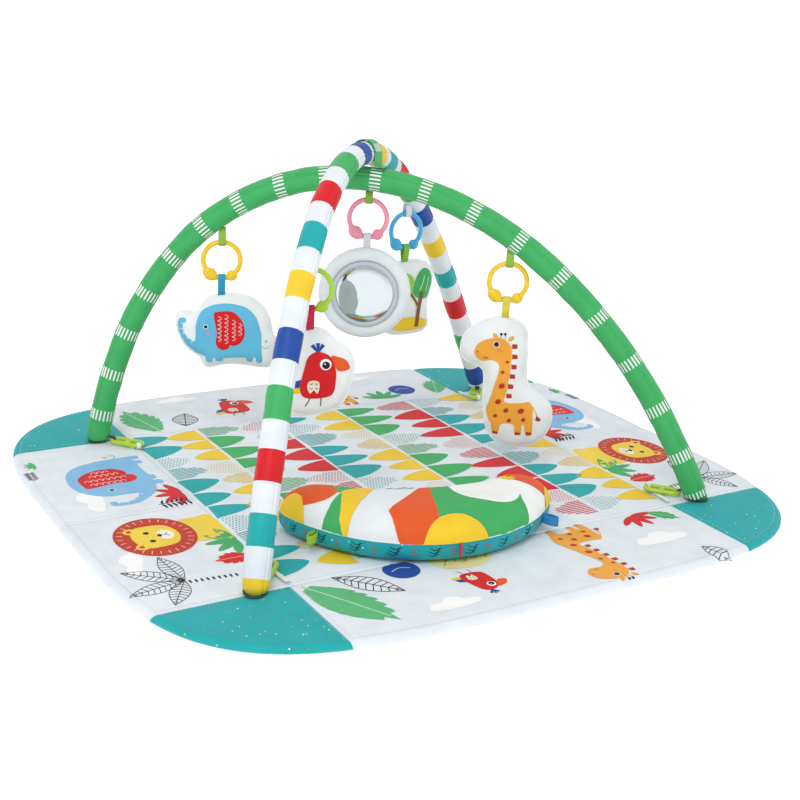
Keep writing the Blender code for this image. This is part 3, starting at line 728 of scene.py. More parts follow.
def centre_panel_art():
    """Rows of rounded peaks in five pairs of columns, plain, hatched and dotted in turn."""
    columns = [
        (-0.3155, 1, TEAL, 54), (-0.209, -1, YELLOW, 52), (-0.204, 1, GREEN, 62), (-0.076, -1, RED, 60),
        (-0.071, 1, TEAL, 64), (0.054, -1, YELLOW, 58), (0.059, 1, GREEN, 66), (0.196, -1, RED, 66),
        (0.201, 1, TEAL, 60), (0.3155, -1, YELLOW, 56),
    ]
    kinds = ("plain", "hatched", "plain", "plain", "dotted")
    shapes = []
    for number, (x, side, colour, width) in enumerate(columns):
        y = 0.283
        row = 0
        while y > -0.250:
            drift = math.sin(number * 2.7 + row * 1.9)
            height = 47 + 6 * drift
            wide = width * (1 + 0.10 * math.sin(row * 2.3 + number))
            peak = peak_art(colour, kinds[(row * 2 + number * 3) % 5], wide, height)
            y -= height * 0.0005
            shapes += moved(peak, x, y - 0.004 * (number % 2), 3 * drift, MM, flip=side < 0)
            y -= height * 0.0005 + 0.003
            row += 1
    return shapes


def mat_art():
    """The animals, leaves and clouds printed on the side panels."""
    shapes = []

    def put(art, x, y, turn=0.0, scale=1.0, flip=False):
        shapes.extend(moved(art, x, y, turn, scale * MM, flip))

    for side in (-1, 1):
        put(cloud_art(), side * 0.445, 0.065, 80, 1.2)
        put(cloud_art(), side * 0.465, -0.150, 70)
    put(elephant_art("86BFE8"), -0.405, 0.130, 90, 1.30)
    put(elephant_art("86BFE8"), 0.405, 0.130, -90, 1.30, flip=True)
    put(lion_art(), -0.418, -0.088, 90, 1.02)
    put(lion_art(), 0.418, -0.088, -90, 1.02)
    for side in (-1, 1):
        turn = 90 if side < 0 else -90
        put(burst_art(RED), side * 0.328, 0.040, turn, 1.2)
        put(twig_art(), side * 0.374, 0.012, 0, 1.15, flip=side > 0)
        put(burst_art(GREEN), side * 0.322, -0.138, turn, 1.35)
        put(leaf_art(RED, 46, 34, 4, "F3B0A8"), side * 0.327, -0.190, turn)
        put(palm_art(), side * 0.432, -0.224, 0, 1.25, flip=side > 0)
        put(twig_art(), side * 0.505, 0.165, 90, 0.8)
        put(burst_art("4CB86E"), side * 0.488, 0.222, turn, 0.5)
    put(leaf_art("5DB87B", 128, 62, 7), -0.305, -0.306, -152)
    put(line_leaf(98, 36, 10), -0.262, -0.292, -138)
    put(ball_art(), -0.170, -0.312)
    put([blob("F4E39A", 1, [(-40, 20), (30, 26), (44, -4), (10, -22), (-34, -12)])], -0.080, -0.322)
    for k in range(12):
        put([stroke(BLACK, 2, [(0, 0), (4, 5)], 1.1, 1)], -0.112 + 0.0065 * k, -0.326 + 0.004 * ((k * 7) % 5))
    put(parrot_art(), -0.092, -0.385, 180, 0.78, flip=True)
    put(giraffe_art(), 0.100, -0.376, 180, 1.06, flip=True)
    put(cloud_art(), -0.160, -0.425, 0, 0.9)
    put(cloud_art(), 0.215, -0.385, 0, 1.1)
    put(burst_art(RED), 0.228, -0.300, 200, 1.15)
    put(leaf_art(GREEN, 44, 26, 4), 0.262, -0.300, 220)
    put(line_leaf(46, 30, 6), 0.250, -0.425, 200)
    put(leaf_art("5DB87B", 105, 62, 6), -0.262, 0.298, 12)
    put(line_leaf(60, 42, 8), -0.214, 0.302, -20)
    put(parrot_art(), -0.100, 0.365)
    put(leaf_art(RED, 46, 34, 4, "F3B0A8"), -0.030, 0.312, -20)
    put(giraffe_art(), 0.075, 0.378, 0, 0.98)
    put(cloud_art(), -0.180, 0.425, 0, 0.9)
    put(cloud_art(), 0.165, 0.420)
    put(burst_art(GREEN), 0.170, 0.305, -10, 1.2)
    put(ball_art(), 0.225, 0.335)
    put(leaf_art("57B97A", 70, 44), 0.280, 0.300, -25)
    return shapes


def stitches(points, length, gap, width, height):
    """Small raised stitches along a line of points on the mat, as vertices and faces."""
    verts, faces = [], []
    left = 0.0
    for a, b in zip(points, points[1:]):
        run = (b - a).length
        ahead = (b - a) / run
        side = Vector((-ahead.y, ahead.x)) * (width / 2)
        while left + length < run:
            start, end = a + ahead * left, a + ahead * (left + length)
            middle = (start + end) / 2
            base = len(verts)
            for p, lift in ((start, 0), (middle, height), (end, 0)):
                for q in (p - side, p + side):
                    verts.append(on_mat(q.x, q.y, 0.00012 + lift))
            faces += [(base, base + 1, base + 3, base + 2), (base + 2, base + 3, base + 5, base + 4)]
            left += length + gap
        left = max(0.0, left - run)
    return verts, faces


def build_mat_details():
    """The prints and the seams' stitches."""
    art = apply_artwork("mat_print", centre_panel_art() + mat_art(), on_mat, MAT_CELL)
    settle(art, "mat", "mat_panel_fabric")
    verts, faces, lines = [], [], []
    for side in (-1, 1):
        for off in (-0.0045, 0.0045):
            lines.append([Vector((side * SEAM_X + off, -0.44)), Vector((side * SEAM_X + off, 0.44))])
            lines.append([Vector((-0.49, side * SEAM_Y + off)), Vector((0.49, side * SEAM_Y + off))])
            lines.append([Vector((side * 0.325, off)), Vector((side * 0.512, off))])
    edge = mat_outline(0.0105, 400)
    lines.append(edge + edge[:1])
    for line in lines:
        more_verts, more_faces = stitches(line, 0.0026, 0.0014, 0.0006, 0.00025)
        faces += [tuple(i + len(verts) for i in face) for face in more_faces]
        verts += more_verts
    thread = make_piece("mat_stitches", verts, faces, [fabric("thread", "C9D3DA", weave=0.0005)])
    settle(thread, "mat", "mat_panel_fabric")


# ------------------------------------------------------------------ arches


class Arch:
    """The curve of one padded arch and the frame along it."""

    def __init__(self, start, end, reach, rise, lean, radius):
        along = (end - start).normalized()
        self.side = Vector((-along.y, along.x, 0))
        self.radius = radius
        near = start + along * reach[0] + UP * rise + self.side * lean
        far = end - along * reach[1] + UP * rise + self.side * lean
        self.points = []
        self.marks = [0.0]
        for k in range(801):
            t = k / 800
            self.points.append(start * (1 - t) ** 3 + near * (3 * t * (1 - t) ** 2)
                               + far * (3 * t * t * (1 - t)) + end * t ** 3)
        for a, b in zip(self.points, self.points[1:]):
            self.marks.append(self.marks[-1] + (b - a).length)
        self.length = self.marks[-1]

    def at(self, share):
        place = min(max(share, 0.0), 1.0) * self.length
        low, high = 0, len(self.marks) - 1
        while high - low > 1:
            middle = (low + high) // 2
            if self.marks[middle] <= place:
                low = middle
            else:
                high = middle
        part = (place - self.marks[low]) / (self.marks[high] - self.marks[low])
        return self.points[low].lerp(self.points[high], part)

    def axes(self, share):
        """Tangent, level direction across and upward direction."""
        forward = (self.at(share + 0.004) - self.at(share - 0.004)).normalized()
        across = (self.side - forward * self.side.dot(forward)).normalized()
        return forward, across, across.cross(forward)

    def skin_point(self, share, angle, radius):
        forward, across, upward = self.axes(share)
        place = self.at(share) + (across * math.cos(angle) + upward * math.sin(angle)) * radius
        level = FLOOR + 0.0028
        if share < 0.02 or share > 0.98:
            end = 0 if share < 0.5 else 1
            if abs(share - end) < 1e-9:
                place += forward * ((level - place.z) / forward.z)
            elif place.z < level:
                place.z = level
        return place

    def clearance(self, point):
        return min((point - p).length for p in self.points[::4])

    def underside(self, place):
        point = place.copy()
        while self.clearance(point) > self.radius - 0.0006:
            point.z += 0.0002
        return point.z


GREEN_GROUPS = [0.033, 0.083, 0.134, 0.185, 0.236, 0.285, 0.333, 0.383, 0.433, 0.487, 0.541, 0.597,
                0.654, 0.712, 0.771, 0.830, 0.889, 0.947]
STRIPES = [
    (0.0, 0.0108, YELLOW), (0.0388, 0.068, TEAL), (0.0963, 0.1255, RED), (0.1524, 0.184, GREEN),
    (0.2088, 0.239, BLUE), (0.2702, 0.298, YELLOW), (0.3234, 0.3526, TEAL), (0.3777, 0.4065, RED),
    (0.4298, 0.4600, GREEN), (0.480, 0.5005, BLUE), (0.5215, 0.544, YELLOW), (0.5545, 0.575, TEAL),
    (0.587, 0.609, RED), (0.627, 0.649, GREEN), (0.6715, 0.6994, BLUE), (0.7298, 0.756, YELLOW),
    (0.7848, 0.8109, TEAL), (0.835, 0.866, RED), (0.8961, 0.9227, GREEN), (0.956, 0.985, BLUE),
]


SEAM_HEIGHT = 0.0010
SLEEVE_CELL = 0.0045
GREEN_SEAM = math.radians(212)
STRIPED_SEAM = math.radians(200)
GREEN_SEED = 1.7


def fold(share, angle, seed, length):
    """How far a sleeve's surface stands out of round: creases across it and lumps along it."""
    crease = noise.noise(Vector((share * length * 55, math.cos(angle) * 0.9, math.sin(angle) * 0.9 + seed)))
    lump = noise.noise(Vector((share * length * 16, math.cos(angle) * 0.6 + seed, math.sin(angle) * 0.6)))
    return 0.0007 * crease + 0.0011 * lump


def seam_ridge(away):
    """The sewn seam along a sleeve: a narrow ridge with a dip either side."""
    ridge = math.exp(-((away / 0.0009) ** 2))
    dip = math.exp(-(((abs(away) - 0.0022) / 0.0014) ** 2))
    return SEAM_HEIGHT * ridge - SEAM_HEIGHT * dip


def around_from(angle, start):
    """Angle from a start, between minus and plus half a turn."""
    return math.atan2(math.sin(angle - start), math.cos(angle - start))


def sleeve_reach(arch, share, angle, seam, seed):
    """How far a sleeve's surface is from its centre line."""
    away = around_from(angle, seam) * arch.radius
    return arch.radius + fold(share, angle, seed, arch.length) + seam_ridge(away)


def sleeve(name, arch, cuts, colours, materials, seam, seed):
    """A sleeve in sections, each with its own material, with a sewn seam along it and its ends tucked in."""
    offsets = (-0.0045, -0.003, -0.0018, -0.0008, 0, 0.0008, 0.0018, 0.003, 0.0045)
    fine = [seam + off / arch.radius for off in offsets]
    coarse = [a for a in turns(36) if min(abs(around_from(a, f)) for f in fine) > 0.06]
    angles = sorted(coarse + [f % (2 * math.pi) for f in fine])
    sides = len(angles)
    shares = set(cuts)
    step = SLEEVE_CELL / arch.length
    for low, high in zip(cuts, cuts[1:]):
        pieces = max(1, round((high - low) / step))
        shares |= {low + (high - low) * k / pieces for k in range(pieces + 1)}
    shares = sorted(shares)
    shares = shares[:1] + [b for a, b in zip(shares, shares[1:]) if b - a > 1e-7]
    rings = []
    for share in shares:
        to_cut = min((abs(share - c) for c in cuts[1:-1]), default=1) * arch.length
        pinch = 0.00035 * math.exp(-((to_cut / 0.0016) ** 2))
        to_end = min(share, 1 - share) * arch.length
        gather = 0.003 * math.exp(-to_end / 0.004)
        reaches = [sleeve_reach(arch, share, a, seam, seed) - pinch - gather for a in angles]
        rings.append([arch.skin_point(share, a, reach) for a, reach in zip(angles, reaches)])
    verts, faces = skin(rings, caps=False)
    slots = []
    for low, high in zip(shares, shares[1:]):
        middle = (low + high) / 2
        index = next(i for i in range(len(colours)) if cuts[i] <= middle <= cuts[i + 1])
        slots += [colours[index]] * sides
    for ring, first, colour, order in ((rings[0], 0, colours[0], 1),
                                       (rings[-1], (len(rings) - 1) * sides, colours[-1], -1)):
        base = len(verts)
        centre = sum(ring, Vector()) / sides
        verts += [centre + (p - centre) * 0.47 for p in ring]
        for k in range(sides):
            n = (k + 1) % sides
            faces.append((first + k, base + k, base + n, first + n)[::order])
            slots.append(colour)
    return make_piece(name, verts, faces, materials, slots)


def build_sleeves(green, striped):
    plain = [fabric("green_arch_cloth", GREEN, roughness=0.5, sheen=0.2, wrinkle=0.45)]
    piece = sleeve("green_sleeve", green, [0.0, 1.0], [0], plain, GREEN_SEAM, GREEN_SEED)
    settle(piece, "green_arch", "green_sleeve_fabric", "green_arch_sleeve", padding=PADDED_ARCH)

    cuts, colours = [0.0], []
    names = [WHITE, YELLOW, TEAL, RED, GREEN, BLUE]
    for low, high, colour in STRIPES:
        if low > cuts[-1]:
            cuts.append(low)
            colours.append(0)
        cuts.append(high)
        colours.append(names.index(colour))
    cuts.append(1.0)
    colours.append(0)
    materials = [fabric("stripe_" + c, c, roughness=0.45, sheen=0.15, wrinkle=0.4) for c in names]
    piece = sleeve("striped_sleeve", striped, cuts, colours, materials, STRIPED_SEAM, 6.3)
    settle(piece, "striped_arch", "striped_sleeve_fabric", "striped_arch_sleeve", padding=PADDED_ARCH)


def build_dashes(green):
    """The rows of white dashes printed round the green sleeve."""
    verts, faces = [], []
    around, rows = 20, 5
    for group in GREEN_GROUPS + [0.9935]:
        reach = (0.0084 if group < 0.99 else 0.0052) / green.length
        for k in range(around):
            middle = 2 * math.pi * (k + 0.5) / around
            base = len(verts)
            for row in range(rows + 1):
                share = group + reach * (2 * row / rows - 1)
                wide = 0.0012 * (1 if 0 < row < rows else 0.85)
                for side in (-1, 0, 1):
                    angle = middle + side * wide / green.radius
                    out = sleeve_reach(green, share, angle, GREEN_SEAM, GREEN_SEED) + 0.0004
                    verts.append(green.skin_point(share, angle, out))
            for a in range(base, base + rows * 3, 3):
                faces += [(a, a + 1, a + 4, a + 3), (a + 1, a + 2, a + 5, a + 4)]
    dashes = make_piece("green_sleeve_dashes", verts, faces, [cloth("F2F7F2")])
    settle(dashes, "green_arch", "green_sleeve_fabric")


def ribbon_section(width, thickness):
    """Half-round edged band section, as (across, through) pairs."""
    w, t = width / 2, thickness / 2
    return [(-w, 0), (-w + t, -t), (-w * 0.5, -t), (0, -t), (w * 0.5, -t), (w - t, -t),
            (w, 0), (w - t, t), (w * 0.5, t), (0, t), (-w * 0.5, t), (-w + t, t)]


def strip(name, path, width, thickness, across, material, curl=0.0):
    """A sewn band along a path, its width along one direction."""
    section = ribbon_section(width, thickness)
    rings = []
    for i, point in enumerate(path):
        normal = ahead_at(path, i).cross(across).normalized()
        rings.append([point + across * u + normal * (v + curl * (u / width) ** 2) for u, v in section])
    return surface(name, rings, material)


def arc(centre, radius, start, end, count, first, second):
    angles = [math.radians(start + (end - start) * k / count) for k in range(count + 1)]
    return [centre + first * (radius * math.cos(a)) + second * (radius * math.sin(a)) for a in angles]


def build_keeper_strap(green, striped):
    """The green strap over the striped sleeve where the arches cross, and its dashes."""
    through, _, _ = striped.axes(0.514)
    along, _, _ = green.axes(0.475)
    along = (along - through * along.dot(through)).normalized()
    over = along.cross(through)
    if over.z < 0:
        over.negate()
    centre = striped.at(0.514)
    radius, sole = 0.0193, 0.0170
    half = [(radius + 0.011, sole), (radius + 0.005, sole), (radius + 0.002, sole),
            (radius + 0.0004, sole - 0.0006), (radius, sole - 0.002), (radius, sole * 0.5)]
    path = [centre - along * out - over * low for out, low in half]
    path += arc(centre, radius, 180, 0, 36, along, over)
    path += [centre + along * out - over * low for out, low in reversed(half)]
    strap = strip("keeper_wrap", path, 0.028, 0.0012, through, fabric("green_arch_cloth", GREEN))
    settle(strap, "green_arch", "strap_fabric", "keeper_strap")
    verts, faces = [], []
    for k in range(7):
        u = -0.0116 + 0.0034 * k
        base = len(verts)
        for row in range(7):
            a = math.radians(48 - 6 * row)
            out = (along * math.cos(a) + over * math.sin(a)) * (radius + 0.0008)
            verts += [centre + out + through * (u + w) for w in (-0.0009, 0.0009)]
        faces += [(base + r, base + r + 1, base + r + 3, base + r + 2) for r in range(0, 12, 2)]
    marks = outward(make_piece("keeper_dashes", verts, faces, [cloth("F2F7F2")]))
    settle(marks, "green_arch", "strap_fabric")


def carry_over_hardware():
    """The rods, ferrules and foot caps keep their CAD shape and get real materials."""
    rod = plastic("rod_black", "1E2124", roughness=0.4)
    steel = metal("ferrule_steel", "C4C9CE", 0.3)
    cap = plastic("foot_cap_green", "1E3A2B", roughness=0.45, coat=0.1)
    for name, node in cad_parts.items():
        for key, material in (("_rod_", rod), ("_ferrule", steel), ("_foot_cap_", cap)):
            if key in name:
                node.material_slots[0].material = material


# ------------------------------------------------------------------ rings, ribbons and toys

# arch, heading in degrees, ring's hinge, then the colour and slot of the ring, the upper and the lower ribbon
TOYS = {
    "elephant": ("green", 22, (-0.2002, 0.1966, 0.3400), ("F7CB12", "ring_yellow"),
                 ("8DBB3E", "ribbon_green"), ("1E9CC8", "ribbon_blue")),
    "mirror": ("green", 30, (-0.0240, 0.0639, 0.4203), ("EE93AE", "ring_pink"),
               ("7FAF3C", "ribbon_green"), ("D5DCE2", "ribbon_pale")),
    "giraffe": ("green", 34, (0.1414, -0.0742, 0.3425), ("F7CB12", "ring_yellow"),
                ("8DBB3E", "ribbon_green"), ("DCD04A", "ribbon_yellow")),
    "parrot": ("striped", 26, (-0.1896, -0.0755, 0.3570), ("A3D32A", "ring_lime"),
               ("2F7FC8", "ribbon_blue"), ("C4184A", "ribbon_crimson")),
    "tree": ("striped", 0, (0.1043, 0.1598, 0.3769), ("3DB0E8", "ring_blue"),
             ("D9E2E8", "ribbon_pale"), ("7DBE3C", "ribbon_green")),
}
# Each pad's centre from its hinge, its tilt in degrees, and its outline in millimetres
OUTLINES = {
    "elephant": ((0.0070, -0.0820, 0.5), [
        (2, 59), (33, 55), (57, 39), (68, 19), (72, 0), (78, -17), (73, -43), (70, -59), (49, -59),
        (21, -55), (-2, -55), (-29, -59), (-39, -43), (-55, -31), (-68, -15), (-75, 8), (-74, 25),
        (-67, 31), (-45, 30), (-39, 35), (-29, 49), (-14, 57)]),
    "giraffe": ((0.0105, -0.1265, 3.5), [
        (-6, 103), (8, 99), (22, 90), (29, 78), (30, 54), (30, 30), (30, 6), (38, -10), (53, -22),
        (66, -35), (70, -53), (68, -70), (60, -86), (49, -97), (34, -103), (17, -104), (-2, -101),
        (-19, -93), (-29, -78), (-34, -55), (-36, -25), (-35, 12), (-40, 22), (-50, 28), (-64, 34),
        (-70, 46), (-70, 62), (-63, 78), (-48, 90), (-28, 99)]),
    "parrot": ((0.0160, -0.0880, 2.0), [
        (-11, 63), (3, 61), (12, 55), (20, 45), (31, 39), (40, 31), (46, 18), (47, 1), (43, -16),
        (38, -34), (29, -48), (13, -58), (-10, -62), (-32, -62), (-43, -53), (-46, -38), (-44, -16),
        (-38, 7), (-34, 30), (-30, 48), (-22, 58)]),
    "tree": ((0.0100, -0.0820, 0.0), [
        (0, 62), (18, 60), (34, 54), (44, 42), (46, 25), (42, 6), (38, -14), (40, -34), (42, -50),
        (32, -60), (12, -63), (-12, -63), (-32, -60), (-42, -50), (-40, -34), (-38, -14), (-42, 6),
        (-46, 25), (-44, 42), (-34, 54), (-18, 60)]),
}
MIRROR_CENTRE_DROP = 0.0856
MIRROR_TOP = -0.0156
PAD_LAYERS = [(-0.0078, 0.0090), (-0.0056, 0.0030), (0.0, -0.0010), (0.0056, 0.0030), (0.0078, 0.0090)]
RING_LEAF = math.radians(219)
RING_BALL = math.radians(147)
RIBBON_LOOP = 0.0058


class Toy:
    """Where one toy hangs: its ring's hinge, its own hinge and the way it faces."""

    def __init__(self, name, arches):
        self.arch_name, heading, axis, self.ring_look, self.top_look, self.low_look = TOYS[name]
        self.name, self.arch = name, arches[self.arch_name]
        self.axis = Vector(axis)
        turn = -math.radians(heading)
        self.across = Vector((math.cos(turn), math.sin(turn), 0))
        self.front = Vector((math.sin(turn), -math.cos(turn), 0))
        self.pivot = self.axis - UP * (2 * RING_RADIUS)

    def world(self, x, z, front=0.0):
        return self.pivot + self.across * x + UP * z + self.front * front


def build_ring(toy):
    """The clip ring with its leaf and its ball, a raised rib on the leaf and a raised swirl on the ball."""
    hub = toy.axis - UP * RING_RADIUS

    def outwards(angle):
        return toy.across * math.sin(angle) + UP * math.cos(angle)

    rings = []
    for angle in turns(120):
        leaf_at, ball_at = (angle - RING_LEAF) / 0.33, (angle - RING_BALL) / 0.22
        leaf, ball = math.exp(-leaf_at ** 4), math.exp(-ball_at ** 4)
        lobes = 0.7 * leaf * max(0.0, math.cos(leaf_at * 7)) + 0.25 * ball * math.cos(ball_at * 9)
        bar = 0.0037 + 0.0052 * leaf + 0.0045 * ball + 0.0007 * lobes
        squeeze = 1 - 0.22 * leaf - 0.1 * ball
        out = outwards(angle)
        centre = hub + out * RING_RADIUS
        rings.append([centre + out * (math.cos(a) * bar * (1 + 0.05 * leaf * math.cos(a * 6)))
                      + toy.front * (math.sin(a) * bar * squeeze) for a in turns(20)])
    colour, slot = toy.ring_look
    moulded = plastic("ring_" + colour, colour)
    ring = surface(toy.name + "_clip_ring", rings, moulded, looped=True)
    swirl = []
    for t in range(24):
        reach = 0.0045 * (1 - t / 26)
        swirl.append((reach * math.cos(t * 0.55), reach * math.sin(t * 0.55)))
    vein = [(-0.006 + 0.0012 * t, 0.0022 * math.sin(t * 1.3)) for t in range(11)]
    for label, angle, depth, path in (("swirl", RING_BALL, 0.0068, swirl), ("vein", RING_LEAF, 0.0066, vein)):
        middle = hub + outwards(angle) * RING_RADIUS
        points = [middle + toy.across * u + UP * v + toy.front * (depth - 14 * (u * u + v * v))
                  for u, v in path]
        tube = []
        for i, point in enumerate(points):
            ahead = ahead_at(points, i)
            one = ahead.cross(toy.front).normalized()
            tube.append(oval_ring(point, one, ahead.cross(one), 0.0007, 0.0007, 8))
        surface(f"{toy.name}_ring_{label}", tube, moulded).parent = ring
    settle(ring, toy.name + "_ring_body", slot, toy.name + "_ring")


def build_ribbon(toy, label, hinge, turned, ends, look, body, node):
    """A ribbon looped round a hinge. Its ends are (point, share of the loop's radius) pairs."""
    path = [point - toy.front * (RIBBON_LOOP * share) for point, share in ends]
    path += arc(hinge, RIBBON_LOOP, 180, turned, 18, toy.front, UP)
    path += [point + toy.front * (RIBBON_LOOP * share) for point, share in reversed(ends)]
    colour, slot = look
    ribbon = strip(f"{toy.name}_{label}_ribbon", path, 0.011, 0.0011, toy.across, ribbon_cloth(colour), 0.0006)
    settle(ribbon, body, slot, node)


def build_ribbons(toy, pad_top):
    """The ribbon from the sleeve to the ring and the one from the ring to the toy."""
    rise = UP * (toy.arch.underside(toy.axis.copy()) - toy.axis.z)
    ends = [(toy.axis + rise, 0.55), (toy.axis + rise * 0.5, 0.95), (toy.axis + UP * 0.001, 1)]
    build_ribbon(toy, "top", toy.axis, 360, ends, toy.top_look, toy.arch_name + "_arch", toy.name + "_arch_ribbon")
    ends = [(toy.world(0, pad_top - 0.004), 0.2), (toy.world(0, pad_top * 0.55), 0.75)]
    build_ribbon(toy, "low", toy.pivot, 0, ends, toy.low_look, toy.name + "_body", toy.name + "_ribbon")


def swell(piece, voxel, cap, axis, slide):
    """Stuffs a closed piece: remesh, then cloth under pressure. A point moves no further than the cap
    along the axis and no further than slide across it, so that the outline keeps its size."""
    bpy.context.view_layer.objects.active = piece
    for other in bpy.context.selected_objects:
        other.select_set(False)
    piece.select_set(True)
    remesh = piece.modifiers.new("Remesh", "REMESH")
    remesh.mode = "VOXEL"
    remesh.voxel_size = voxel
    bpy.ops.object.modifier_apply(modifier=remesh.name)
    rest = [v.co.copy() for v in piece.data.vertices]
    stuffing = piece.modifiers.new("Cloth", "CLOTH")
    settings = stuffing.settings
    settings.effector_weights.gravity = 0
    for setting, value in {
        "use_pressure": True, "uniform_pressure_force": 4, "quality": 4, "tension_stiffness": 25,
        "compression_stiffness": 25, "shear_stiffness": 12, "bending_stiffness": 1.5,
    }.items():
        setattr(settings, setting, value)
    for number in range(1, 21):
        bpy.context.scene.frame_set(number)
    bpy.ops.object.modifier_apply(modifier=stuffing.name)
    bpy.context.scene.frame_set(1)
    for vert, start in zip(piece.data.vertices, rest):
        move = vert.co - start
        along = axis * max(-cap, min(cap, move.dot(axis)))
        across = move - axis * move.dot(axis)
        if across.length > slide:
            across *= slide / across.length
        vert.co = start + along + across
    mesh = bmesh.new()
    mesh.from_mesh(piece.data)
    for _ in range(3):
        bmesh.ops.smooth_vert(mesh, verts=mesh.verts, factor=0.5, use_axis_x=True, use_axis_y=True, use_axis_z=True)
    mesh.to_mesh(piece.data)
    mesh.free()
    piece.data.polygons.foreach_set("use_smooth", [True] * len(piece.data.polygons))


def surface_tree(piece):
    """The piece's final surface, for finding points on it."""
    graph = bpy.context.evaluated_depsgraph_get()
    return BVHTree.FromObject(piece.evaluated_get(graph), graph)


def build_pad(toy, art):
    """A stuffed pad cut to its outline, a seam round its edge and the animal on its front. Returns the
    height of its top over its middle."""
    (right, up, tilt), corners = OUTLINES[toy.name]
    turn = Matrix.Rotation(math.radians(tilt), 2)

    def placed(p):
        return turn @ (p * MM) + Vector((right, up))

    outline = [placed(p) for p in closed_curve(corners)]
    inwards = []
    for k in range(len(outline)):
        ahead = ahead_at(outline, k, looped=True)
        inwards.append(Vector((ahead.y, -ahead.x)))
    rings = [[toy.world(*(p + inward * cut_in), depth) for p, inward in zip(outline, inwards)]
             for depth, cut_in in PAD_LAYERS]
    white = fabric("toy_white", "EDF1F3", roughness=0.6, sheen=0.2, wrinkle=0.5)
    pad = surface(toy.name + "_pad", rings, white)
    swell(pad, 0.0045, 0.006, toy.front, 0.0002)
    for vert in pad.data.vertices:
        rel = vert.co - toy.pivot
        flat = Vector((rel.dot(toy.across), rel.z))
        away = (nearest_on(outline, flat) - flat).length
        side = 1 if rel.dot(toy.front) > 0 else -1
        pull = math.exp(-((away - 0.0035) / 0.0022) ** 2)
        crease = noise.noise(Vector((flat.x * 70, flat.y * 70, side * 3.0))) * math.exp(-away / 0.012)
        vert.co += toy.front * side * (0.0009 * crease - 0.0012 * pull)
    round_off(pad)
    settle(pad, toy.name + "_body", "toy_fabric", toy.name + "_toy", padding=0.75)

    piping = []
    for k, (p, inward) in enumerate(zip(outline, inwards)):
        wobble = 0.0004 * noise.noise(Vector((k * 0.31, 4.2, 0)))
        centre = p + inward * (0.0014 + wobble)
        piping.append([toy.world(*(centre - inward * (0.0026 * math.cos(a))), 0.0009 * math.sin(a))
                       for a in turns(8)])
    surface(toy.name + "_seam", piping, white, looped=True).parent = pad
    tree = surface_tree(pad)

    def on_pad(x, y, height):
        flat = placed(Vector((x, y)))
        hit, _, _, _ = tree.ray_cast(toy.world(*flat, 0.05), -toy.front)
        if hit is None:
            hit, _, _, _ = tree.find_nearest(toy.world(*flat, 0.003))
        return hit + toy.front * height

    picture = apply_artwork(toy.name + "_print", art, on_pad, 3.0, 0.0002, 0.0004)
    settle(picture, toy.name + "_body", "toy_fabric")
    return max(p.y for p in outline if abs(p.x) < 0.006)


def tree_art():
    bark, line = "8A5A2E", "E7F5E7"
    shapes = [blob(GREEN, 2, [(2, 8), (8, 34), (22, 48), (36, 42), (42, 22), (38, 4), (20, -2)]),
              blob("8CCB5A", 1, [(-34, 10), (-30, 30), (-14, 42), (2, 34), (6, 14), (-6, 0), (-24, 0)]),
              stroke(bark, 3, [(14, -50), (14, -20), (18, 10)], 7),
              stroke(bark, 3, [(14, -16), (2, 2), (-8, 10)], 4),
              stroke(line, 4, [(14, 12), (20, 24), (24, 36)], 1.2),
              stroke(line, 4, [(26, 10), (30, 22), (32, 32)], 1.2)]
    shapes += [oval(RED, 4, x, y, 3.2) for x, y in ((-22, 18), (-12, 26), (-26, 28))]
    shapes.append(blob(YELLOW, 1, [(-36, -50), (-30, -36), (0, -32), (30, -38), (36, -50), (0, -56)]))
    return shapes


